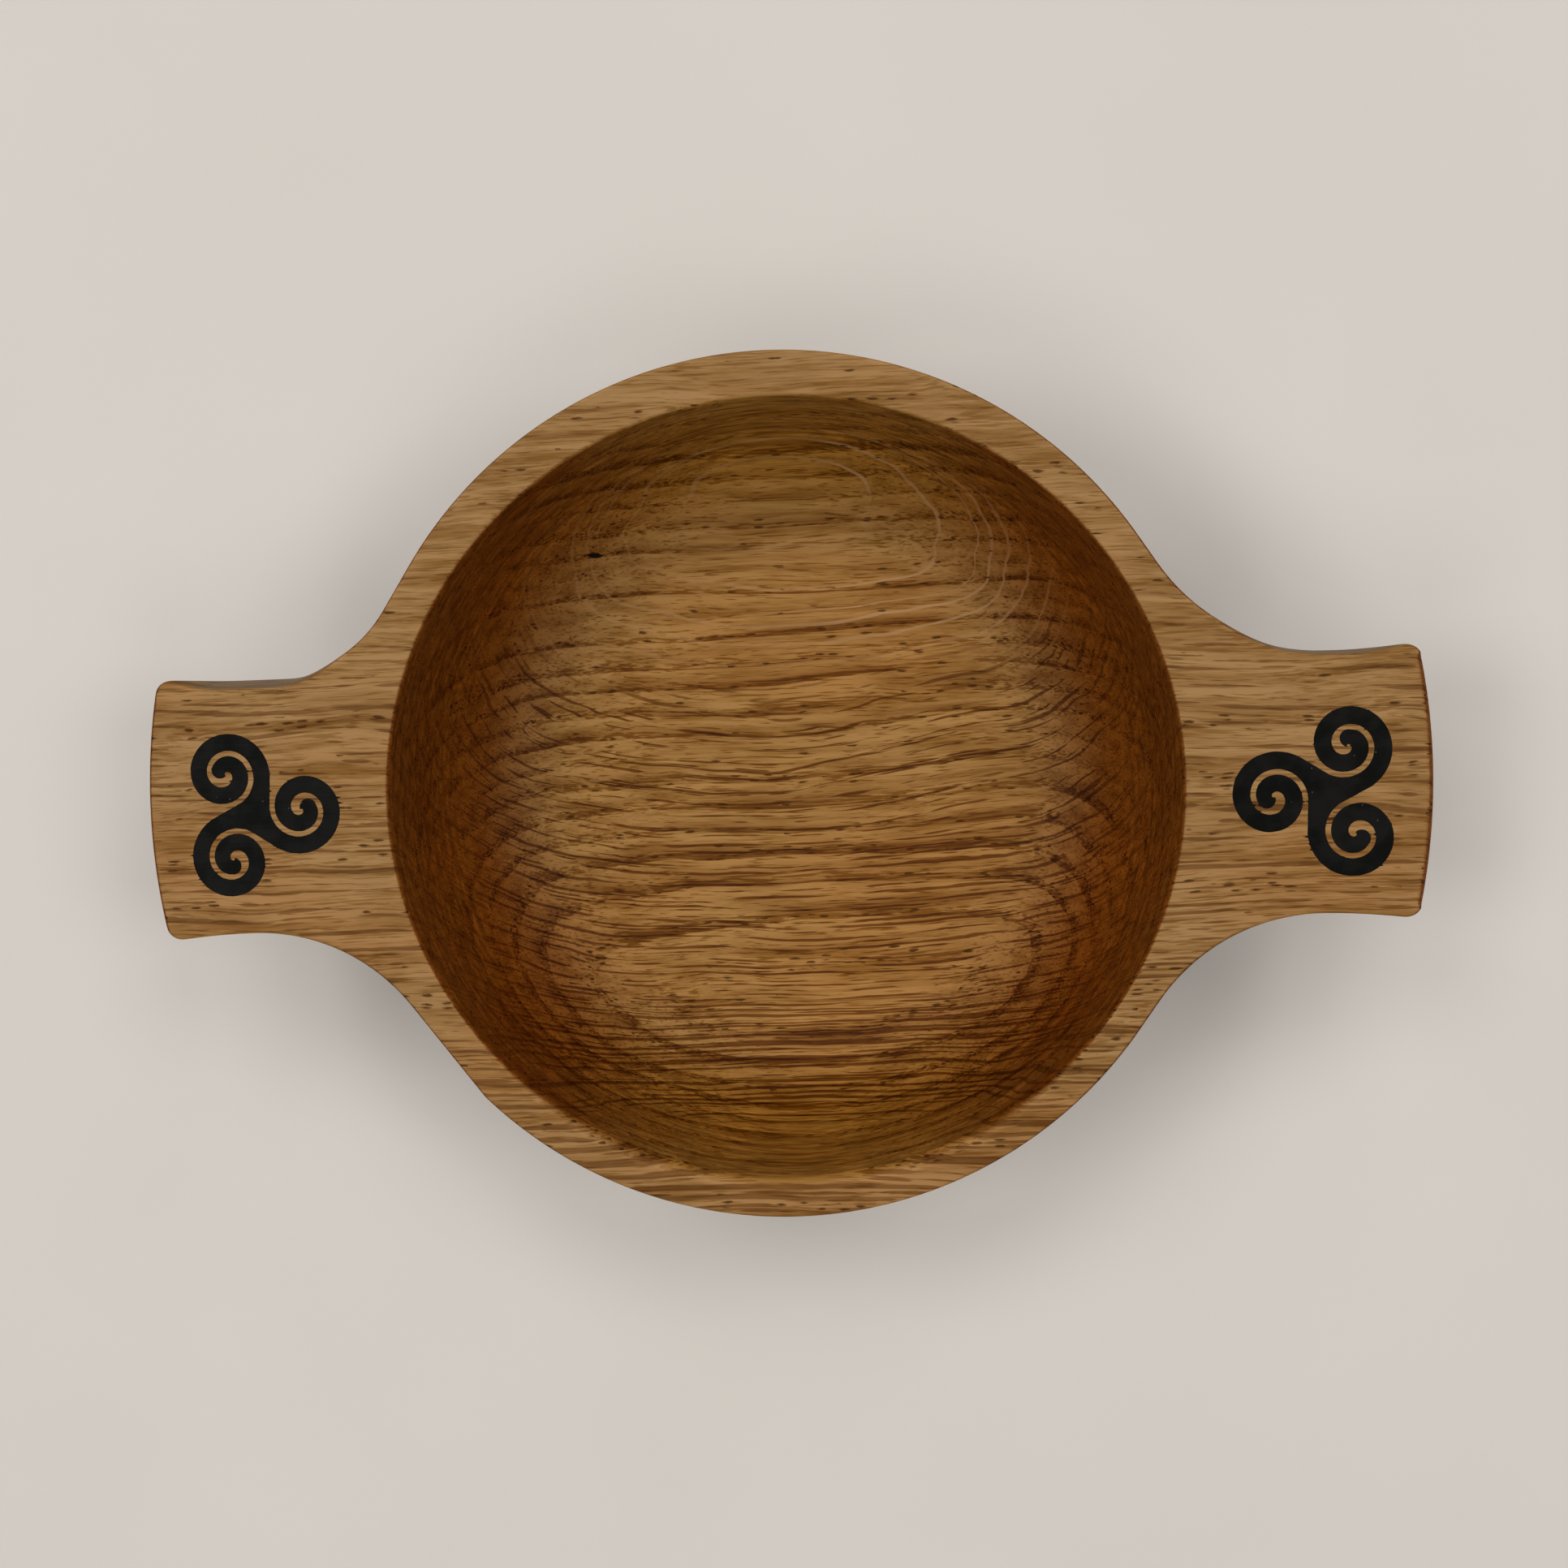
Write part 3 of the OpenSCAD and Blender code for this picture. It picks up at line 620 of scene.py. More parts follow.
for part, wave, start in ((math.cos, "COSINE", -EYE_REACH), (math.sin, "SINE", 0.0)):
    centre = add(SWITCH, [on_tip, start, start + TIP_REACH * part(winding)], input_type="FLOAT")
    swing = add(MATH, [point_angle], operation=wave)
    steps_out.append(add(MATH, [point_r, swing, centre], operation="MULTIPLY_ADD"))
arm_turn = add(MATH, [arm_number, TURN / ARMS, given["Turn"]], operation="MULTIPLY_ADD")
turned = add("ShaderNodeVectorRotate", {"Vector": add(JOIN, steps_out), "Angle": arm_turn},
             rotation_type="Z_AXIS")
placed = add(VECTOR, [turned, given["Place"]], operation="ADD")
loop = add("GeometryNodeCurvePrimitiveCircle", {"Resolution": ARMS * ARM_POINTS})
outline = add("GeometryNodeSetPosition", {"Geometry": loop, "Position": placed})
outline = add("GeometryNodeResampleCurve", {"Curve": outline, "Length": OUTLINE_STEP}, mode="LENGTH")
print("the triskele's outline takes", len(triskele_tree.nodes), "nodes")

# %% [markdown]
# ## Resin that crept into the grain
# The pocket's edge is cut through open pores, and wet resin ran a little way into them. So the outline isn't
# quite clean: it is slightly ragged, and short black slivers stick out of it along the grain. Both are small
# moves of the outline's points. A noise that is narrow across the grain and long along it picks the places
# where a pore was open.

# %% Creep, fill and thickness
OPEN_PORE_CELLS, RAGGED_CELLS = cells(5.0, 0.35, 1.0), cells(0.6, 0.6, 1.0)
CREEP_LOW, CREEP_HIGH, WELD = 0.74, 0.82, 0.001

position = add("GeometryNodeInputPosition")
tangent_x, tangent_y = (add(SPLIT, [add("GeometryNodeInputTangent")], out=axis) for axis in "XY")
open_pore_point = add(VECTOR, [position, OPEN_PORE_CELLS], operation="MULTIPLY")
open_pore = add(NOISE, {"Vector": open_pore_point, "Scale": 1.0, "Detail": 0.0})
creep = add(MATH, [add(RANGE, [open_pore, CREEP_LOW, CREEP_HIGH]), given["Creep"]], operation="MULTIPLY")
ragged_point = add(VECTOR, [position, RAGGED_CELLS], operation="MULTIPLY")
ragged = add(NOISE, {"Vector": ragged_point, "Scale": 1.0})
ragged = add(MATH, [add(RANGE, [ragged, 0.0, 1.0, -1.0, 1.0]), given["Ragged edge"]], operation="MULTIPLY")
push_x = add(MATH, [tangent_y, add(MATH, [ragged, creep], operation="ADD")], operation="MULTIPLY")
push_y = add(MATH, [tangent_x, add(MATH, [ragged, -1.0], operation="MULTIPLY")], operation="MULTIPLY")
crept = add("GeometryNodeSetPosition", {"Geometry": outline, "Offset": add(JOIN, [push_x, push_y])})
sheet = add("GeometryNodeFillCurve", {"Curve": crept})
low_face = add("GeometryNodeSetPosition", {"Geometry": sheet, "Offset": add(JOIN, {"Z": given["Bottom"]})})
thickness = add(MATH, [given["Top"], given["Bottom"]], operation="SUBTRACT")
raised = add("GeometryNodeExtrudeMesh", {"Mesh": low_face, "Offset": (0, 0, 1), "Offset Scale": thickness,
                                         "Individual": False})
underside = add("GeometryNodeFlipFaces", {"Mesh": low_face})
shell = add("GeometryNodeJoinGeometry", {"Geometry": [underside, raised]})
closed = add("GeometryNodeMergeByDistance", {"Geometry": shell, "Distance": WELD})
in_metres = add("GeometryNodeTransform", {"Geometry": closed, "Scale": (MM,) * 3})
real = add("GeometryNodeRealizeInstances", [in_metres])
dressed = add("GeometryNodeSetMaterial", {"Geometry": real, "Material": given["Material"]})
add("NodeGroupOutput", [dressed])
print("the whole tree takes", len(triskele_tree.nodes), "nodes")

# %% [markdown]
# ## Making the inlays and their cutters
# A modifier runs the tree on an empty mesh. Its inputs are set by socket identifier before the first
# evaluation, and the result is turned into a plain mesh. The cutter is the same shape, wider by the gap that
# the shrinking resin left, and it stands past the wood's face so that the cut is clean.

# %% Inlays and cutters
CUT_PAST = 1
SHARP_ANGLE = math.radians(40)
LUG_MIDDLE = (RIM_R + LUG_END_R) / 2

# The direction of its lug, and how far a triskele lies off the lug's middle, outwards and down
INLAYS = {"left_triskele_inlay": (math.pi + LUG_SKEW, -0.6, 1.05),
          "right_triskele_inlay": (-LUG_SKEW, -0.1, 1.4)}


def plain_mesh(name, carrier, material):
    """The evaluated result of an object's modifiers, as an object with no modifiers and one material."""
    bpy.context.view_layer.update()
    evaluated = carrier.evaluated_get(bpy.context.evaluated_depsgraph_get())
    mesh = bpy.data.meshes.new_from_object(evaluated)
    mesh.materials.clear()
    mesh.materials.append(material)
    mesh.polygons.foreach_set("material_index", [0] * len(mesh.polygons))
    mesh.polygons.foreach_set("use_smooth", [True] * len(mesh.polygons))
    mesh.set_sharp_from_angle(angle=SHARP_ANGLE)
    bpy.data.objects.remove(carrier)
    made = bpy.data.objects.new(name, mesh)
    bpy.context.scene.collection.objects.link(made)
    return made


def triskele(name, node, spare, top):
    """One triskele in its lug, wider than the inlay by spare on each side."""
    direction, shift, drop = INLAYS[node]
    reach = LUG_MIDDLE + shift
    carrier = bpy.data.objects.new(name + "_carrier", bpy.data.meshes.new(name + "_carrier"))
    bpy.context.scene.collection.objects.link(carrier)
    modifier = carrier.modifiers.new("triskele", "NODES")
    modifier.node_group = triskele_tree
    values = {
        "Arm width": ARM_W + 2 * (spare - RESIN_SHRINKAGE), "Bottom": RIM_Z - INLAY_DEPTH, "Top": top,
        "Turn": INLAY_TURN + math.pi * round(direction / math.pi), "Material": resin,
        "Place": (reach * math.cos(direction), reach * math.sin(direction) - drop, 0.0)}
    for key, value in values.items():
        modifier[socket_id[key]] = value
    return plain_mesh(name, carrier, resin)


pieces, cutters = {}, []
for node in INLAYS:
    pieces[node] = triskele(node + "_resin", node, 0, RIM_Z)
    cutters.append(triskele(node + "_cutter", node, RESIN_SHRINKAGE, RIM_Z + CUT_PAST))
    print(node, len(pieces[node].data.polygons), "faces")

# %% [markdown]
# ## The bowl's outline, seen from above
# From above the body is a circle with two lugs. A lug's side leaves the rim at an angle, turns in one
# concave arc to the neck, flares out a little and ends in an arc about the bowl's middle. The lugs were
# shaped by hand, so the two sides of the left one differ, and both lean a degree off the long axis. The
# outline is a chain of points along these lines. It is softened a little, as sanding does, and then divided
# into columns that lie closer together on tight corners. Each becomes one column of the mesh, which a cut
# with modifiers wouldn't give.

# %% Half a lug in plan
LUG_CORNER_R, FLARE_POINTS, FINE_STEP, RIM_STUB = 2.2, 40, 0.2, 0.01

# For each side: where it leaves the rim in degrees and how deep it bites into it, the radius of its concave
# arc, and half the lug's width at the neck and at the end
SWEEPS = {"right upper": (34.5, 0.0, 26, 17.1, 17.65), "right lower": (34.5, 0.0, 26, 17.1, 17.65),
          "left upper": (33.0, 0.0, 18, 17.3, 17.5), "left lower": (37.0, 0.5, 26.5, 17.1, 17.65)}


def arc(centre, radius, start, end, step=FINE_STEP):
    """Points along an arc, from one angle to another, no further apart than step."""
    count = max(2, math.ceil(abs(end - start) * radius / step))
    angles = [start + (end - start) * i / count for i in range(count + 1)]
    return [Vector((centre[0] + radius * math.cos(a), centre[1] + radius * math.sin(a))) for a in angles]


def lug_half(sweep):
    """Outline of half a lug that points along +X, from the middle of its end back to the rim."""
    degrees, bite, radius, neck_half, end_half = SWEEPS[sweep]
    rim_angle = math.radians(degrees)
    corner_y = end_half - LUG_CORNER_R
    corner_x = math.sqrt((LUG_END_R - LUG_CORNER_R) ** 2 - corner_y ** 2)
    end_angle = math.atan2(corner_y, corner_x)
    way = Vector((math.sin(rim_angle), -math.cos(rim_angle)))
    near = (RIM_R - bite) * Vector((math.cos(rim_angle), math.sin(rim_angle)))
    neck = near + way * (near.y - neck_half) / math.cos(rim_angle)
    neck_x = neck.x + radius * math.tan(math.pi / 4 - rim_angle / 2)
    flare = []
    for share in (1 - i / FLARE_POINTS for i in range(FLARE_POINTS)):
        flare_y = neck_half + (end_half - neck_half) * share * share
        flare.append(Vector((neck_x + (corner_x - neck_x) * share, flare_y)))
    leave = rim_angle + math.acos((RIM_R - bite) / RIM_R)
    return (arc((0, 0), LUG_END_R, 0, end_angle)
            + arc((corner_x, corner_y), LUG_CORNER_R, end_angle, math.pi / 2) + flare
            + arc((neck_x, neck_half + radius), radius, 1.5 * math.pi, math.pi + rim_angle)
            + arc((0, 0), RIM_R, leave, leave + RIM_STUB))


print("half a lug takes", len(lug_half("right upper")), "points")

# %% Whole outline
def turned_by(points, angle):
    """Points of the plan turned about the middle of the bowl."""
    turn = Matrix.Rotation(angle, 2)
    return [turn @ p for p in points]


def whole_lug(side):
    """Outline of a lug that points along +X. The left one is turned later, so its upper side is low here."""
    first, last = ("lower", "upper") if side == "right" else ("upper", "lower")
    below = [Vector((p.x, -p.y)) for p in reversed(lug_half(f"{side} {first}"))]
    return below + lug_half(f"{side} {last}")[1:]


def rim_between(first, second):
    """The rim's arc from one point to another, anticlockwise, without its ends."""
    start = math.atan2(first.y, first.x) % TURN
    end = math.atan2(second.y, second.x) % TURN
    return arc((0, 0), RIM_R, start, end if end > start else end + TURN)[1:-1]


right_lug = turned_by(whole_lug("right"), -LUG_SKEW)
left_lug = turned_by(whole_lug("left"), math.pi + LUG_SKEW)
upper_rim, lower_rim = rim_between(right_lug[-1], left_lug[0]), rim_between(left_lug[-1], right_lug[0])
chain = right_lug + upper_rim + left_lug + lower_rim
print("outline chain:", len(chain), "points")

# %% Columns along the outline
SOFTEN_PASSES, COLUMNS, CORNER_WEIGHT = 5, 560, 7


def resampled(points, distances, closed=False):
    """Points at the given distances along a chain of points."""
    ends = points + points[:1] if closed else points
    marks = [0.0]
    for a, b in zip(ends, ends[1:]):
        marks.append(marks[-1] + (b - a).length)
    found, i = [], 0
    for d in distances:
        while i < len(marks) - 2 and marks[i + 1] < d:
            i += 1
        span = marks[i + 1] - marks[i]
        found.append(ends[i].lerp(ends[i + 1], (d - marks[i]) / span if span else 0.0))
    return found


def length_of(points, closed=False):
    """Length of a chain of points."""
    ends = points + points[:1] if closed else points
    return sum((b - a).length for a, b in zip(ends, ends[1:]))


fine_count = round(length_of(chain, True) / FINE_STEP)
even = resampled(chain, [length_of(chain, True) * i / fine_count for i in range(fine_count)], True)
for _ in range(SOFTEN_PASSES):
    even = [(even[i - 1] + 2 * even[i] + even[(i + 1) % fine_count]) / 4 for i in range(fine_count)]
weights = []
for i in range(fine_count):
    before, after = even[i] - even[i - 1], even[(i + 1) % fine_count] - even[i]
    sharpness = abs(before.angle_signed(after)) / before.length
    weights.append(1 + CORNER_WEIGHT * sharpness)
total, passed, places = sum(weights), 0.0, []
for i, weight in enumerate(weights):
    while len(places) < COLUMNS and passed + weight > total * len(places) / COLUMNS:
        places.append(i + (total * len(places) / COLUMNS - passed) / weight)
    passed += weight
plan = [even[int(place)].lerp(even[(int(place) + 1) % fine_count], place % 1) for place in places]
plan_normals = []
for i in range(COLUMNS):
    way = (plan[(i + 1) % COLUMNS] - plan[i - 1]).normalized()
    plan_normals.append(Vector((way.y, -way.x)))
print(COLUMNS, "columns, outline", round(length_of(plan, True), 1), "mm long")

# %% [markdown]
# ## Where each column meets the mouth
# A column starts at the floor's middle, crosses the mouth and runs out to the outline. If it always ran
# straight out, many columns would lie along a lug's side, and the mesh would fold there. So the columns of a
# lug are fanned out over the part of the mouth in front of it, each by its distance along the outline from
# the lug's tip.

# %% Fan of a lug's columns
FAN_POWER, PAST_RIM = 1.6, 0.01

fan = [math.atan2(p.y, p.x) for p in plan]
for side, lug_way in ((1, -LUG_SKEW), (-1, math.pi + LUG_SKEW)):
    members = [i for i in range(COLUMNS) if plan[i].x * side > 0 and plan[i].length > RIM_R + PAST_RIM]
    bearings = [math.remainder(fan[i] - lug_way, TURN) for i in members]
    reaches = [length_of(plan[members[0]:i + 1]) for i in members]
    tip = min(range(len(members)), key=lambda k: abs(bearings[k]))
    for k, i in enumerate(members):
        end = 0 if k < tip else -1
        share = (reaches[k] - reaches[tip]) / (reaches[end] - reaches[tip])
        fan[i] = lug_way + bearings[end] * share ** FAN_POWER
    fan_width = round(math.degrees(bearings[-1] - bearings[0]))
    print(len(members), "columns of a lug meet the mouth within", fan_width, "degrees")

# %% [markdown]
# ## The bowl's section
# On a lathe the bowl is a half section spun about its axis: a gently dished floor, a round corner, a wall
# that leans out a little and a soft inner edge. Outside, the wall stands upright, turns under in a large
# quarter circle and ends on a small foot ring with a recess. A Screw modifier could spin one section, but
# this bowl isn't the same all round. Oak shrinks across the grain, so the mouth is a little narrower that
# way, it lies half a millimetre off the middle, and its edge is rounder on the side that is low in the
# picture. So each column of the mesh follows the section on its own.

# %% Section of the floor and its corner
DISH_STEP, CORNER_STEP = 2.4, 1.3

# The corner's circle touches the leaning wall and the dished floor, so its depth solves a quadratic equation
mouth_r = RIM_R - RIM_W
lean = math.tan(WALL_LEAN)
corner_reach = mouth_r - INNER_CORNER_R / math.cos(WALL_LEAN)
dish_above_rim = FLOOR_DISH_R - (RIM_Z - FLOOR_Z)
lead = dish_above_rim - corner_reach * lean
constant = corner_reach ** 2 + dish_above_rim ** 2 - (FLOOR_DISH_R - INNER_CORNER_R) ** 2
corner_depth = (math.sqrt(lead ** 2 - (1 + lean ** 2) * constant) - lead) / (1 + lean ** 2)
corner = Vector((corner_reach - corner_depth * lean, RIM_Z - corner_depth))
dish_end = -math.pi / 2 + math.asin(corner.x / (FLOOR_DISH_R - INNER_CORNER_R))
inside = arc((0, FLOOR_Z + FLOOR_DISH_R), FLOOR_DISH_R, -math.pi / 2, dish_end, DISH_STEP)[1:]
inside += arc(corner, INNER_CORNER_R, dish_end, -WALL_LEAN, CORNER_STEP)[1:]
print(f"the corner's middle lies {corner_depth:.1f} mm under the rim's top")

# %% Points up the inside
MOUTH_EDGE_R, LOW_MOUTH_EDGE_R, LOW_MOUTH, MOUTH_RINGS, WALL_RINGS = 0.6, 2.0, (0.6, 0.97), 7, 6
MOUTH_SHIFT, MOUTH_SHRINKAGE = Vector((0.5, -0.5)), 0.016


def eased(value, low, high):
    """A soft step from 0 to 1."""
    share = min(1, max(0, (value - low) / (high - low)))
    return share * share * (3 - 2 * share)


def at(p, z):
    """A point of the plan lifted to a height."""
    return Vector((p.x, p.y, z))


def inside_line(bearing):
    """Points up the inside, from the floor to the flat of the rim, in one direction from the axis."""
    way = Vector((math.cos(bearing), math.sin(bearing)))
    radius = MOUTH_EDGE_R + (LOW_MOUTH_EDGE_R - MOUTH_EDGE_R) * eased(-way.y, *LOW_MOUTH)
    edge_x = mouth_r + radius * (1 - math.sin(WALL_LEAN)) / math.cos(WALL_LEAN)
    edge_z = RIM_Z - radius
    edge_turn = math.pi / 2 - WALL_LEAN
    angles = [math.pi - WALL_LEAN - edge_turn * i / MOUTH_RINGS for i in range(MOUTH_RINGS + 1)]
    edge = [Vector((edge_x + radius * math.cos(a), edge_z + radius * math.sin(a))) for a in angles]
    wall = [inside[-1].lerp(edge[0], i / WALL_RINGS) for i in range(1, WALL_RINGS)]
    way.y *= 1 - MOUTH_SHRINKAGE
    return [at(MOUTH_SHIFT + way * v.x, v.y) for v in inside + wall + edge]


print("the inside has", len(inside_line(0.0)), "rings")

# %% Section of the underside
WALL_TURN_Z, OUTER_CORNER_R = 26, 22
FOOT_R, FOOT_H, FOOT_RING_W, FOOT_RECESS, FOOT_SWEEP_R, FOOT_EDGE_R = 28, 4, 5, 2, 2.5, 0.4
WALL_TURN_STEP, FOOT_SWEEP_STEP, FOOT_EDGE_STEP = 1.6, 0.6, 0.2
RECESS_BEVEL, RECESS_RINGS = 0.3, (0.8, 0.6, 0.4, 0.2)
QUARTER = math.pi / 2

recess_r = FOOT_R - FOOT_RING_W
under = arc((RIM_R - OUTER_CORNER_R, WALL_TURN_Z), OUTER_CORNER_R, 0, -QUARTER, WALL_TURN_STEP)[1:]
under += arc((FOOT_R + FOOT_SWEEP_R, FOOT_H - FOOT_SWEEP_R), FOOT_SWEEP_R, QUARTER, math.pi, FOOT_SWEEP_STEP)
under += arc((FOOT_R - FOOT_EDGE_R, FOOT_EDGE_R), FOOT_EDGE_R, 0, -QUARTER, FOOT_EDGE_STEP)
under += arc((recess_r + FOOT_EDGE_R, FOOT_EDGE_R), FOOT_EDGE_R, -QUARTER, -math.pi, FOOT_EDGE_STEP)
under += [Vector((recess_r, FOOT_RECESS - RECESS_BEVEL)), Vector((recess_r - RECESS_BEVEL, FOOT_RECESS))]
under += [Vector((recess_r * share, FOOT_RECESS)) for share in RECESS_RINGS]
print("the underside has", len(under), "rings")

# %% [markdown]
# ## Over the edge and under the lug
# This is the part of each column that isn't a plain lathe section. On a lug it goes out along the flat top,
# round the edge, back under the lug and down a cove to the wall. The top edge is rounded a little more on
# the lugs than on the rim, and along the upper side of each lug the maker sanded a steep facet instead,
# larger on the left one. On the bare rim the same points simply go down the wall, so every column has
# equally many and the quads never tear.

# %% Top edge
RIM_EDGE_R, LUG_EDGE_R, LUG_EDGE_FROM = 0.5, 0.6, (0, 6)
LEFT_FACET, RIGHT_FACET, LEFT_END, RIGHT_END = (1.5, 5.5), (0.8, 4.0), (0.7, 0.7), (1.3, 1.3)
FACET_FACING, FACET_START, FACET_STOP, FACET_FLATNESS = (0.6, 0.95), (0, 10), (1.5, 10), 0.75
END_FACING, END_START, EDGE_RINGS = (0.85, 0.99), (-4, -1), 7


def facets(p, n):
    """How far the upper side of a lug was sanded to a facet at this point, and how far its end was."""
    side = eased(n.y, *FACET_FACING) * eased(abs(p.x), *(RIM_R + d for d in FACET_START))
    side *= eased(LUG_END_R - abs(p.x), *FACET_STOP)
    return side, eased(abs(n.x), *END_FACING) * eased(p.length, *(LUG_END_R + d for d in END_START))


def edge_shape(p, n):
    """Width and height of the top edge's rounding at a point of the outline, and how flat it is."""
    side, end = facets(p, n)
    radius = RIM_EDGE_R + (LUG_EDGE_R - RIM_EDGE_R) * eased(p.length - RIM_R, *LUG_EDGE_FROM)
    sizes = zip(LEFT_FACET, LEFT_END) if p.x < 0 else zip(RIGHT_FACET, RIGHT_END)
    width, fall = (radius + (a - radius) * side + (b - radius) * end for a, b in sizes)
    return width, fall, FACET_FLATNESS * side


def top_edge(p, n):
    """Points over the top edge, from the flat top to the side."""
    width, fall, flatness = edge_shape(p, n)
    points = []
    for i in range(EDGE_RINGS + 1):
        share, angle = i / EDGE_RINGS, math.pi / 2 * i / EDGE_RINGS
        inset = flatness * (1 - share) + (1 - flatness) * (1 - math.sin(angle))
        drop = flatness * share + (1 - flatness) * (1 - math.cos(angle))
        points.append(at(p - n * width * inset, RIM_Z - fall * drop))
    return points


upwards = Vector((0, 1))
print("the rim's top edge is rounded by", round(edge_shape(upwards * RIM_R, upwards)[0], 2), "mm")

# %% Side, underside and cove
LUG_T, COVE_R, COVE_POINTS = 9, 5, 40
LOW_EDGE_R, LOW_EDGE_SHARE, SIDE_LEAST, SIDE_RINGS = 1.2, 0.4, 0.5, 6
ROUND_SPAN, FLAT_LEAST, COVE_SPAN = 2.4, 2, 8.0
ROUND_RINGS, FLAT_RINGS, COVE_RINGS = 9, 6, 11
back_rings = ROUND_RINGS + FLAT_RINGS + COVE_RINGS
lug_under_z = RIM_Z - LUG_T


def underside_z(reach):
    """Height of the wood's underside at this distance outside the wall."""
    return lug_under_z - COVE_R + math.sqrt(max(0, COVE_R ** 2 - max(0, COVE_R - reach) ** 2))


def spread(length):
    """Distances along the way back under a lug: close at its rounded edge and in its cove."""
    flat = length - ROUND_SPAN - COVE_SPAN
    if flat < FLAT_LEAST:
        return [length * i / back_rings for i in range(1, back_rings + 1)]
    distances, start = [], 0.0
    for span, count in ((ROUND_SPAN, ROUND_RINGS), (flat, FLAT_RINGS), (COVE_SPAN, COVE_RINGS)):
        distances += [start + span * i / count for i in range(1, count + 1)]
        start += span
    return distances


def column(p, n):
    """Points of one column from the flat top, over the edge and back to where the outside wall turns."""
    edge = top_edge(p, n)
    low_r = min(LOW_EDGE_R, LOW_EDGE_SHARE * max(0.0, p.length - RIM_R))
    quarter = [math.pi / 2 * i / EDGE_RINGS for i in range(EDGE_RINGS + 1)]
    inset = p - n * low_r
    reach = max(0.0, inset.length - RIM_R)
    low_z = underside_z(reach)
    back = [at(p - n * low_r * (1 - math.cos(a)), low_z + low_r * (1 - math.sin(a))) for a in quarter]
    for i in range(1, COVE_POINTS + 1):
        out = reach * (1 - i / COVE_POINTS)
        back.append(at(inset.normalized() * (RIM_R + out), underside_z(out)))
    side_span = max(SIDE_LEAST, edge[-1].z - lug_under_z - low_r)
    side_end = at(p, max(back[0].z, edge[-1].z - side_span))
    side = [edge[-1].lerp(side_end, i / SIDE_RINGS) for i in range(1, SIDE_RINGS + 1)]
    way_back = [side_end] + back
    return edge + side + resampled(way_back, spread(length_of(way_back)))


print("from the top edge to the wall's turn a column has", len(column(plan[0], plan_normals[0])), "points")

# %% [markdown]
# ## The body as one closed mesh
# All columns together make a grid of quads that closes on itself around the bowl, with one point in the
# middle of the floor and one under the foot. A grid like this is smooth to shade and keeps its edges exactly
# where the section has them. The share of painted grey reflection on the sanded facets goes along as the
# attribute that the oak reads. The pockets are then cut with the cutters.

# %% Body mesh
TOP_RINGS, FACET_REFLECTION_SHARE = 9, 0.55


def body_columns():
    """Body columns from the floor over the rim to the foot, and each point's painted facet reflection."""
    made, facet_reflection_shares = [], []
    for p, n, bearing in zip(plan, plan_normals, fan):
        inner = inside_line(bearing)
        outer = column(p, n)
        shelf = [inner[-1].lerp(outer[0], i / TOP_RINGS) for i in range(1, TOP_RINGS)]
        foot_way = Vector((outer[-1].x, outer[-1].y)).normalized()
        made.append(inner + shelf + outer + [at(foot_way * v.x, v.y) for v in under])
        plain = len(inner) + len(shelf) + 1
        beyond = len(made[-1]) - plain - EDGE_RINGS
        # Painted grey reflection on the sanded facet, for the points of the top edge
        facet_reflection_shares += [0.0] * plain + [FACET_REFLECTION_SHARE * facets(p, n)[0]] * EDGE_RINGS + [0.0] * beyond
    return made, facet_reflection_shares


grid, facet_reflection_shares = body_columns()
rings = len(grid[0])
vertices = [v * MM for line in grid for v in line]
vertices += [at(MOUTH_SHIFT, FLOOR_Z) * MM, Vector((0, 0, FOOT_RECESS)) * MM]
floor_pole, foot_pole = len(vertices) - 2, len(vertices) - 1
faces = []
for i in range(COLUMNS):
    here, there = i * rings, (i + 1) % COLUMNS * rings
    faces.append((floor_pole, here, there))
    faces += [(here + k, here + k + 1, there + k + 1, there + k) for k in range(rings - 1)]
    faces.append((foot_pole, there + rings - 1, here + rings - 1))
body_mesh = bpy.data.meshes.new("quaich_body_oak")
body_mesh.from_pydata(vertices, [], faces)
body_mesh.materials.append(oak)
body_mesh.attributes.new("sanded", "FLOAT", "POINT").data.foreach_set("value", facet_reflection_shares + [0.0, 0.0])
print("body grid:", COLUMNS, "columns of", rings, "points")

# %% Normals, pockets and shading
SAME_POINT, CM = 0.00001, 0.01

work = bmesh.new()
work.from_mesh(body_mesh)
bmesh.ops.remove_doubles(work, verts=work.verts, dist=SAME_POINT * MM)
bmesh.ops.recalc_face_normals(work, faces=work.faces)
work.to_mesh(body_mesh)
open_edges = sum(edge.is_boundary for edge in work.edges)
print("body volume in cm3:", round(work.calc_volume() / CM ** 3, 1), "open edges:", open_edges)
work.free()

blank = bpy.data.objects.new("quaich_body_blank", body_mesh)
bpy.context.scene.collection.objects.link(blank)
for cutter in cutters:
    cut = blank.modifiers.new("pocket", "BOOLEAN")
    cut.operation = "DIFFERENCE"
    cut.solver = "EXACT"
    cut.object = cutter
pieces["quaich_body"] = plain_mesh("quaich_body_turned", blank, oak)
for cutter in cutters:
    bpy.data.objects.remove(cutter)
print("body after the pockets:", len(pieces["quaich_body"].data.polygons), "faces")

# %% [markdown]
# ## Floor and light
# The bowl stands on pale matt card, whose faint mottle keeps it from looking like empty space. Its shadow in
# the photograph is short, soft and all around, so the light is a ring of eight soft panels about a third of
# the way down from overhead. They are stronger at both sides and at the upper left, because the shadow is
# deepest beside the lugs and at the lower right. A weak even sky keeps the shadow open. What the camera sees
# beyond the card is a paler backdrop than that sky: the Light Path node tells a ray that is seen from one
# that only lights. The level is such that a colour renders about as it is written.

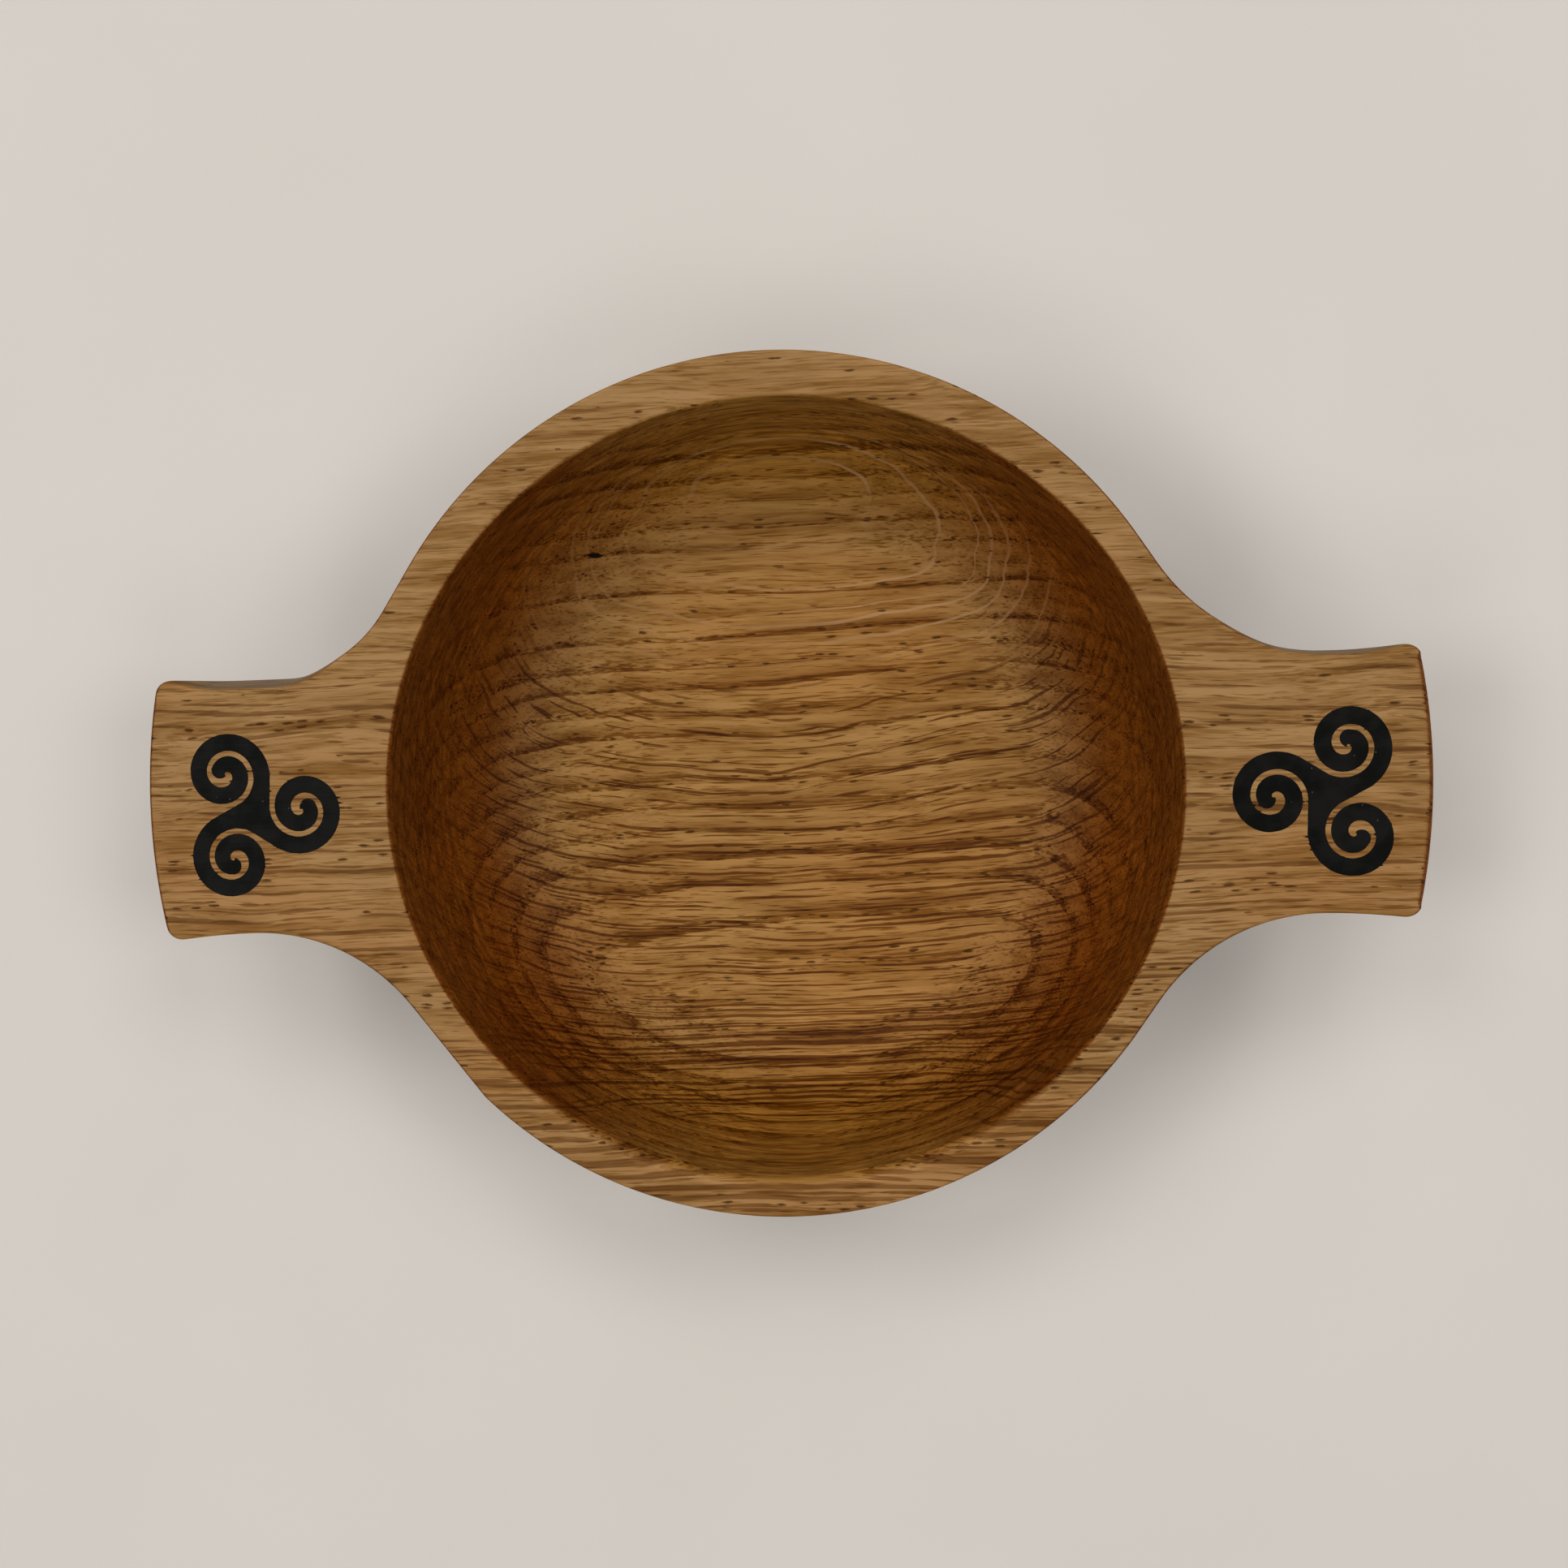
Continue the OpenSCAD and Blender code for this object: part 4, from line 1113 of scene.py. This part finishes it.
# %% Floor
FLOOR_SIZE, FLOOR_GAP, MOTTLE_L = 6.0, 0.05 * MM, 71.4
CARD_DARK, CARD_PALE, CARD_ROUGHNESS, CARD_SPECULAR = linear("#CDC7BF"), linear("#D5CFC8"), 0.75, 0.2

card, add = new_material("pale_card")
mottle = add(NOISE, {"Vector": add(COORDINATES, out="Object"), "Scale": 1 / (MOTTLE_L * MM), "Detail": 3.0})
paper = add(MIX, {0: mottle, 6: CARD_DARK, 7: CARD_PALE}, **COLOUR)
matt = add("ShaderNodeBsdfPrincipled", {"Base Color": paper, "Roughness": CARD_ROUGHNESS,
                                       "Specular IOR Level": CARD_SPECULAR})
add("ShaderNodeOutputMaterial", {"Surface": matt})
floor_mesh = bpy.data.meshes.new("floor")
half_floor = FLOOR_SIZE / 2
corners = [(x * half_floor, y * half_floor, -FLOOR_GAP) for x, y in ((-1, -1), (1, -1), (1, 1), (-1, 1))]
floor_mesh.from_pydata(corners, [], [(0, 1, 2, 3)])
floor_mesh.materials.append(card)
floor = bpy.data.objects.new("floor", floor_mesh)
bpy.context.scene.collection.objects.link(floor)
print("floor", FLOOR_SIZE, "m across")

# %% Light
SKY, BACKDROP, SKY_COLOUR = 0.16, 0.5, linear("#F7F5F2")
PANELS, PANEL_SIZE, PANEL_REACH, PANEL_Z, PANEL_POWER = 8, 0.45, 0.8, 1.2, 2.75
UPPER_LEFT, UPPER_LEFT_AT, BOTH_SIDES = 0.36, math.radians(112), 0.45

world = bpy.data.worlds.new("studio")
world.use_nodes = True
bpy.context.scene.world = world
sky = world.node_tree.nodes["Background"].inputs
sky["Color"].default_value = SKY_COLOUR
add = node_adder(world.node_tree)
looked_at, mirrored, seen_through = (add("ShaderNodeLightPath", out=f"Is {ray} Ray")
                                     for ray in ("Camera", "Glossy", "Transmission"))
seen = add(MATH, [looked_at, add(MATH, [mirrored, seen_through], operation="MAXIMUM")], operation="MAXIMUM")
world.node_tree.links.new(add(RANGE, [seen, 0.0, 1.0, SKY, BACKDROP]), sky["Strength"])

for i in range(PANELS):
    turn = TURN * i / PANELS
    panel_light = bpy.data.lights.new(f"panel_{i + 1}", "AREA")
    panel_light.shape = "DISK"
    panel_light.size = PANEL_SIZE
    extra = UPPER_LEFT * math.cos(turn - UPPER_LEFT_AT) + BOTH_SIDES * math.cos(2 * turn)
    panel_light.energy = PANEL_POWER * (1 + extra)
    panel = bpy.data.objects.new(f"panel_{i + 1}", panel_light)
    bpy.context.scene.collection.objects.link(panel)
    panel.location = (PANEL_REACH * math.cos(turn), PANEL_REACH * math.sin(turn), PANEL_Z)
    panel.rotation_euler = (-panel.location).to_track_quat("-Z", "Y").to_euler()
    print(panel.name, f"at {math.degrees(turn):.0f} degrees has {panel_light.energy:.2f} W")
bpy.context.scene.view_settings.view_transform = "Standard"

# %% [markdown]
# ## Handing the pieces to the frame
# Each piece rides on the one body that the model has and stands for its solid, whose part is hidden.

# %% Ride and replace
for node, piece in pieces.items():
    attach(piece, "root")
    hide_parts(node)
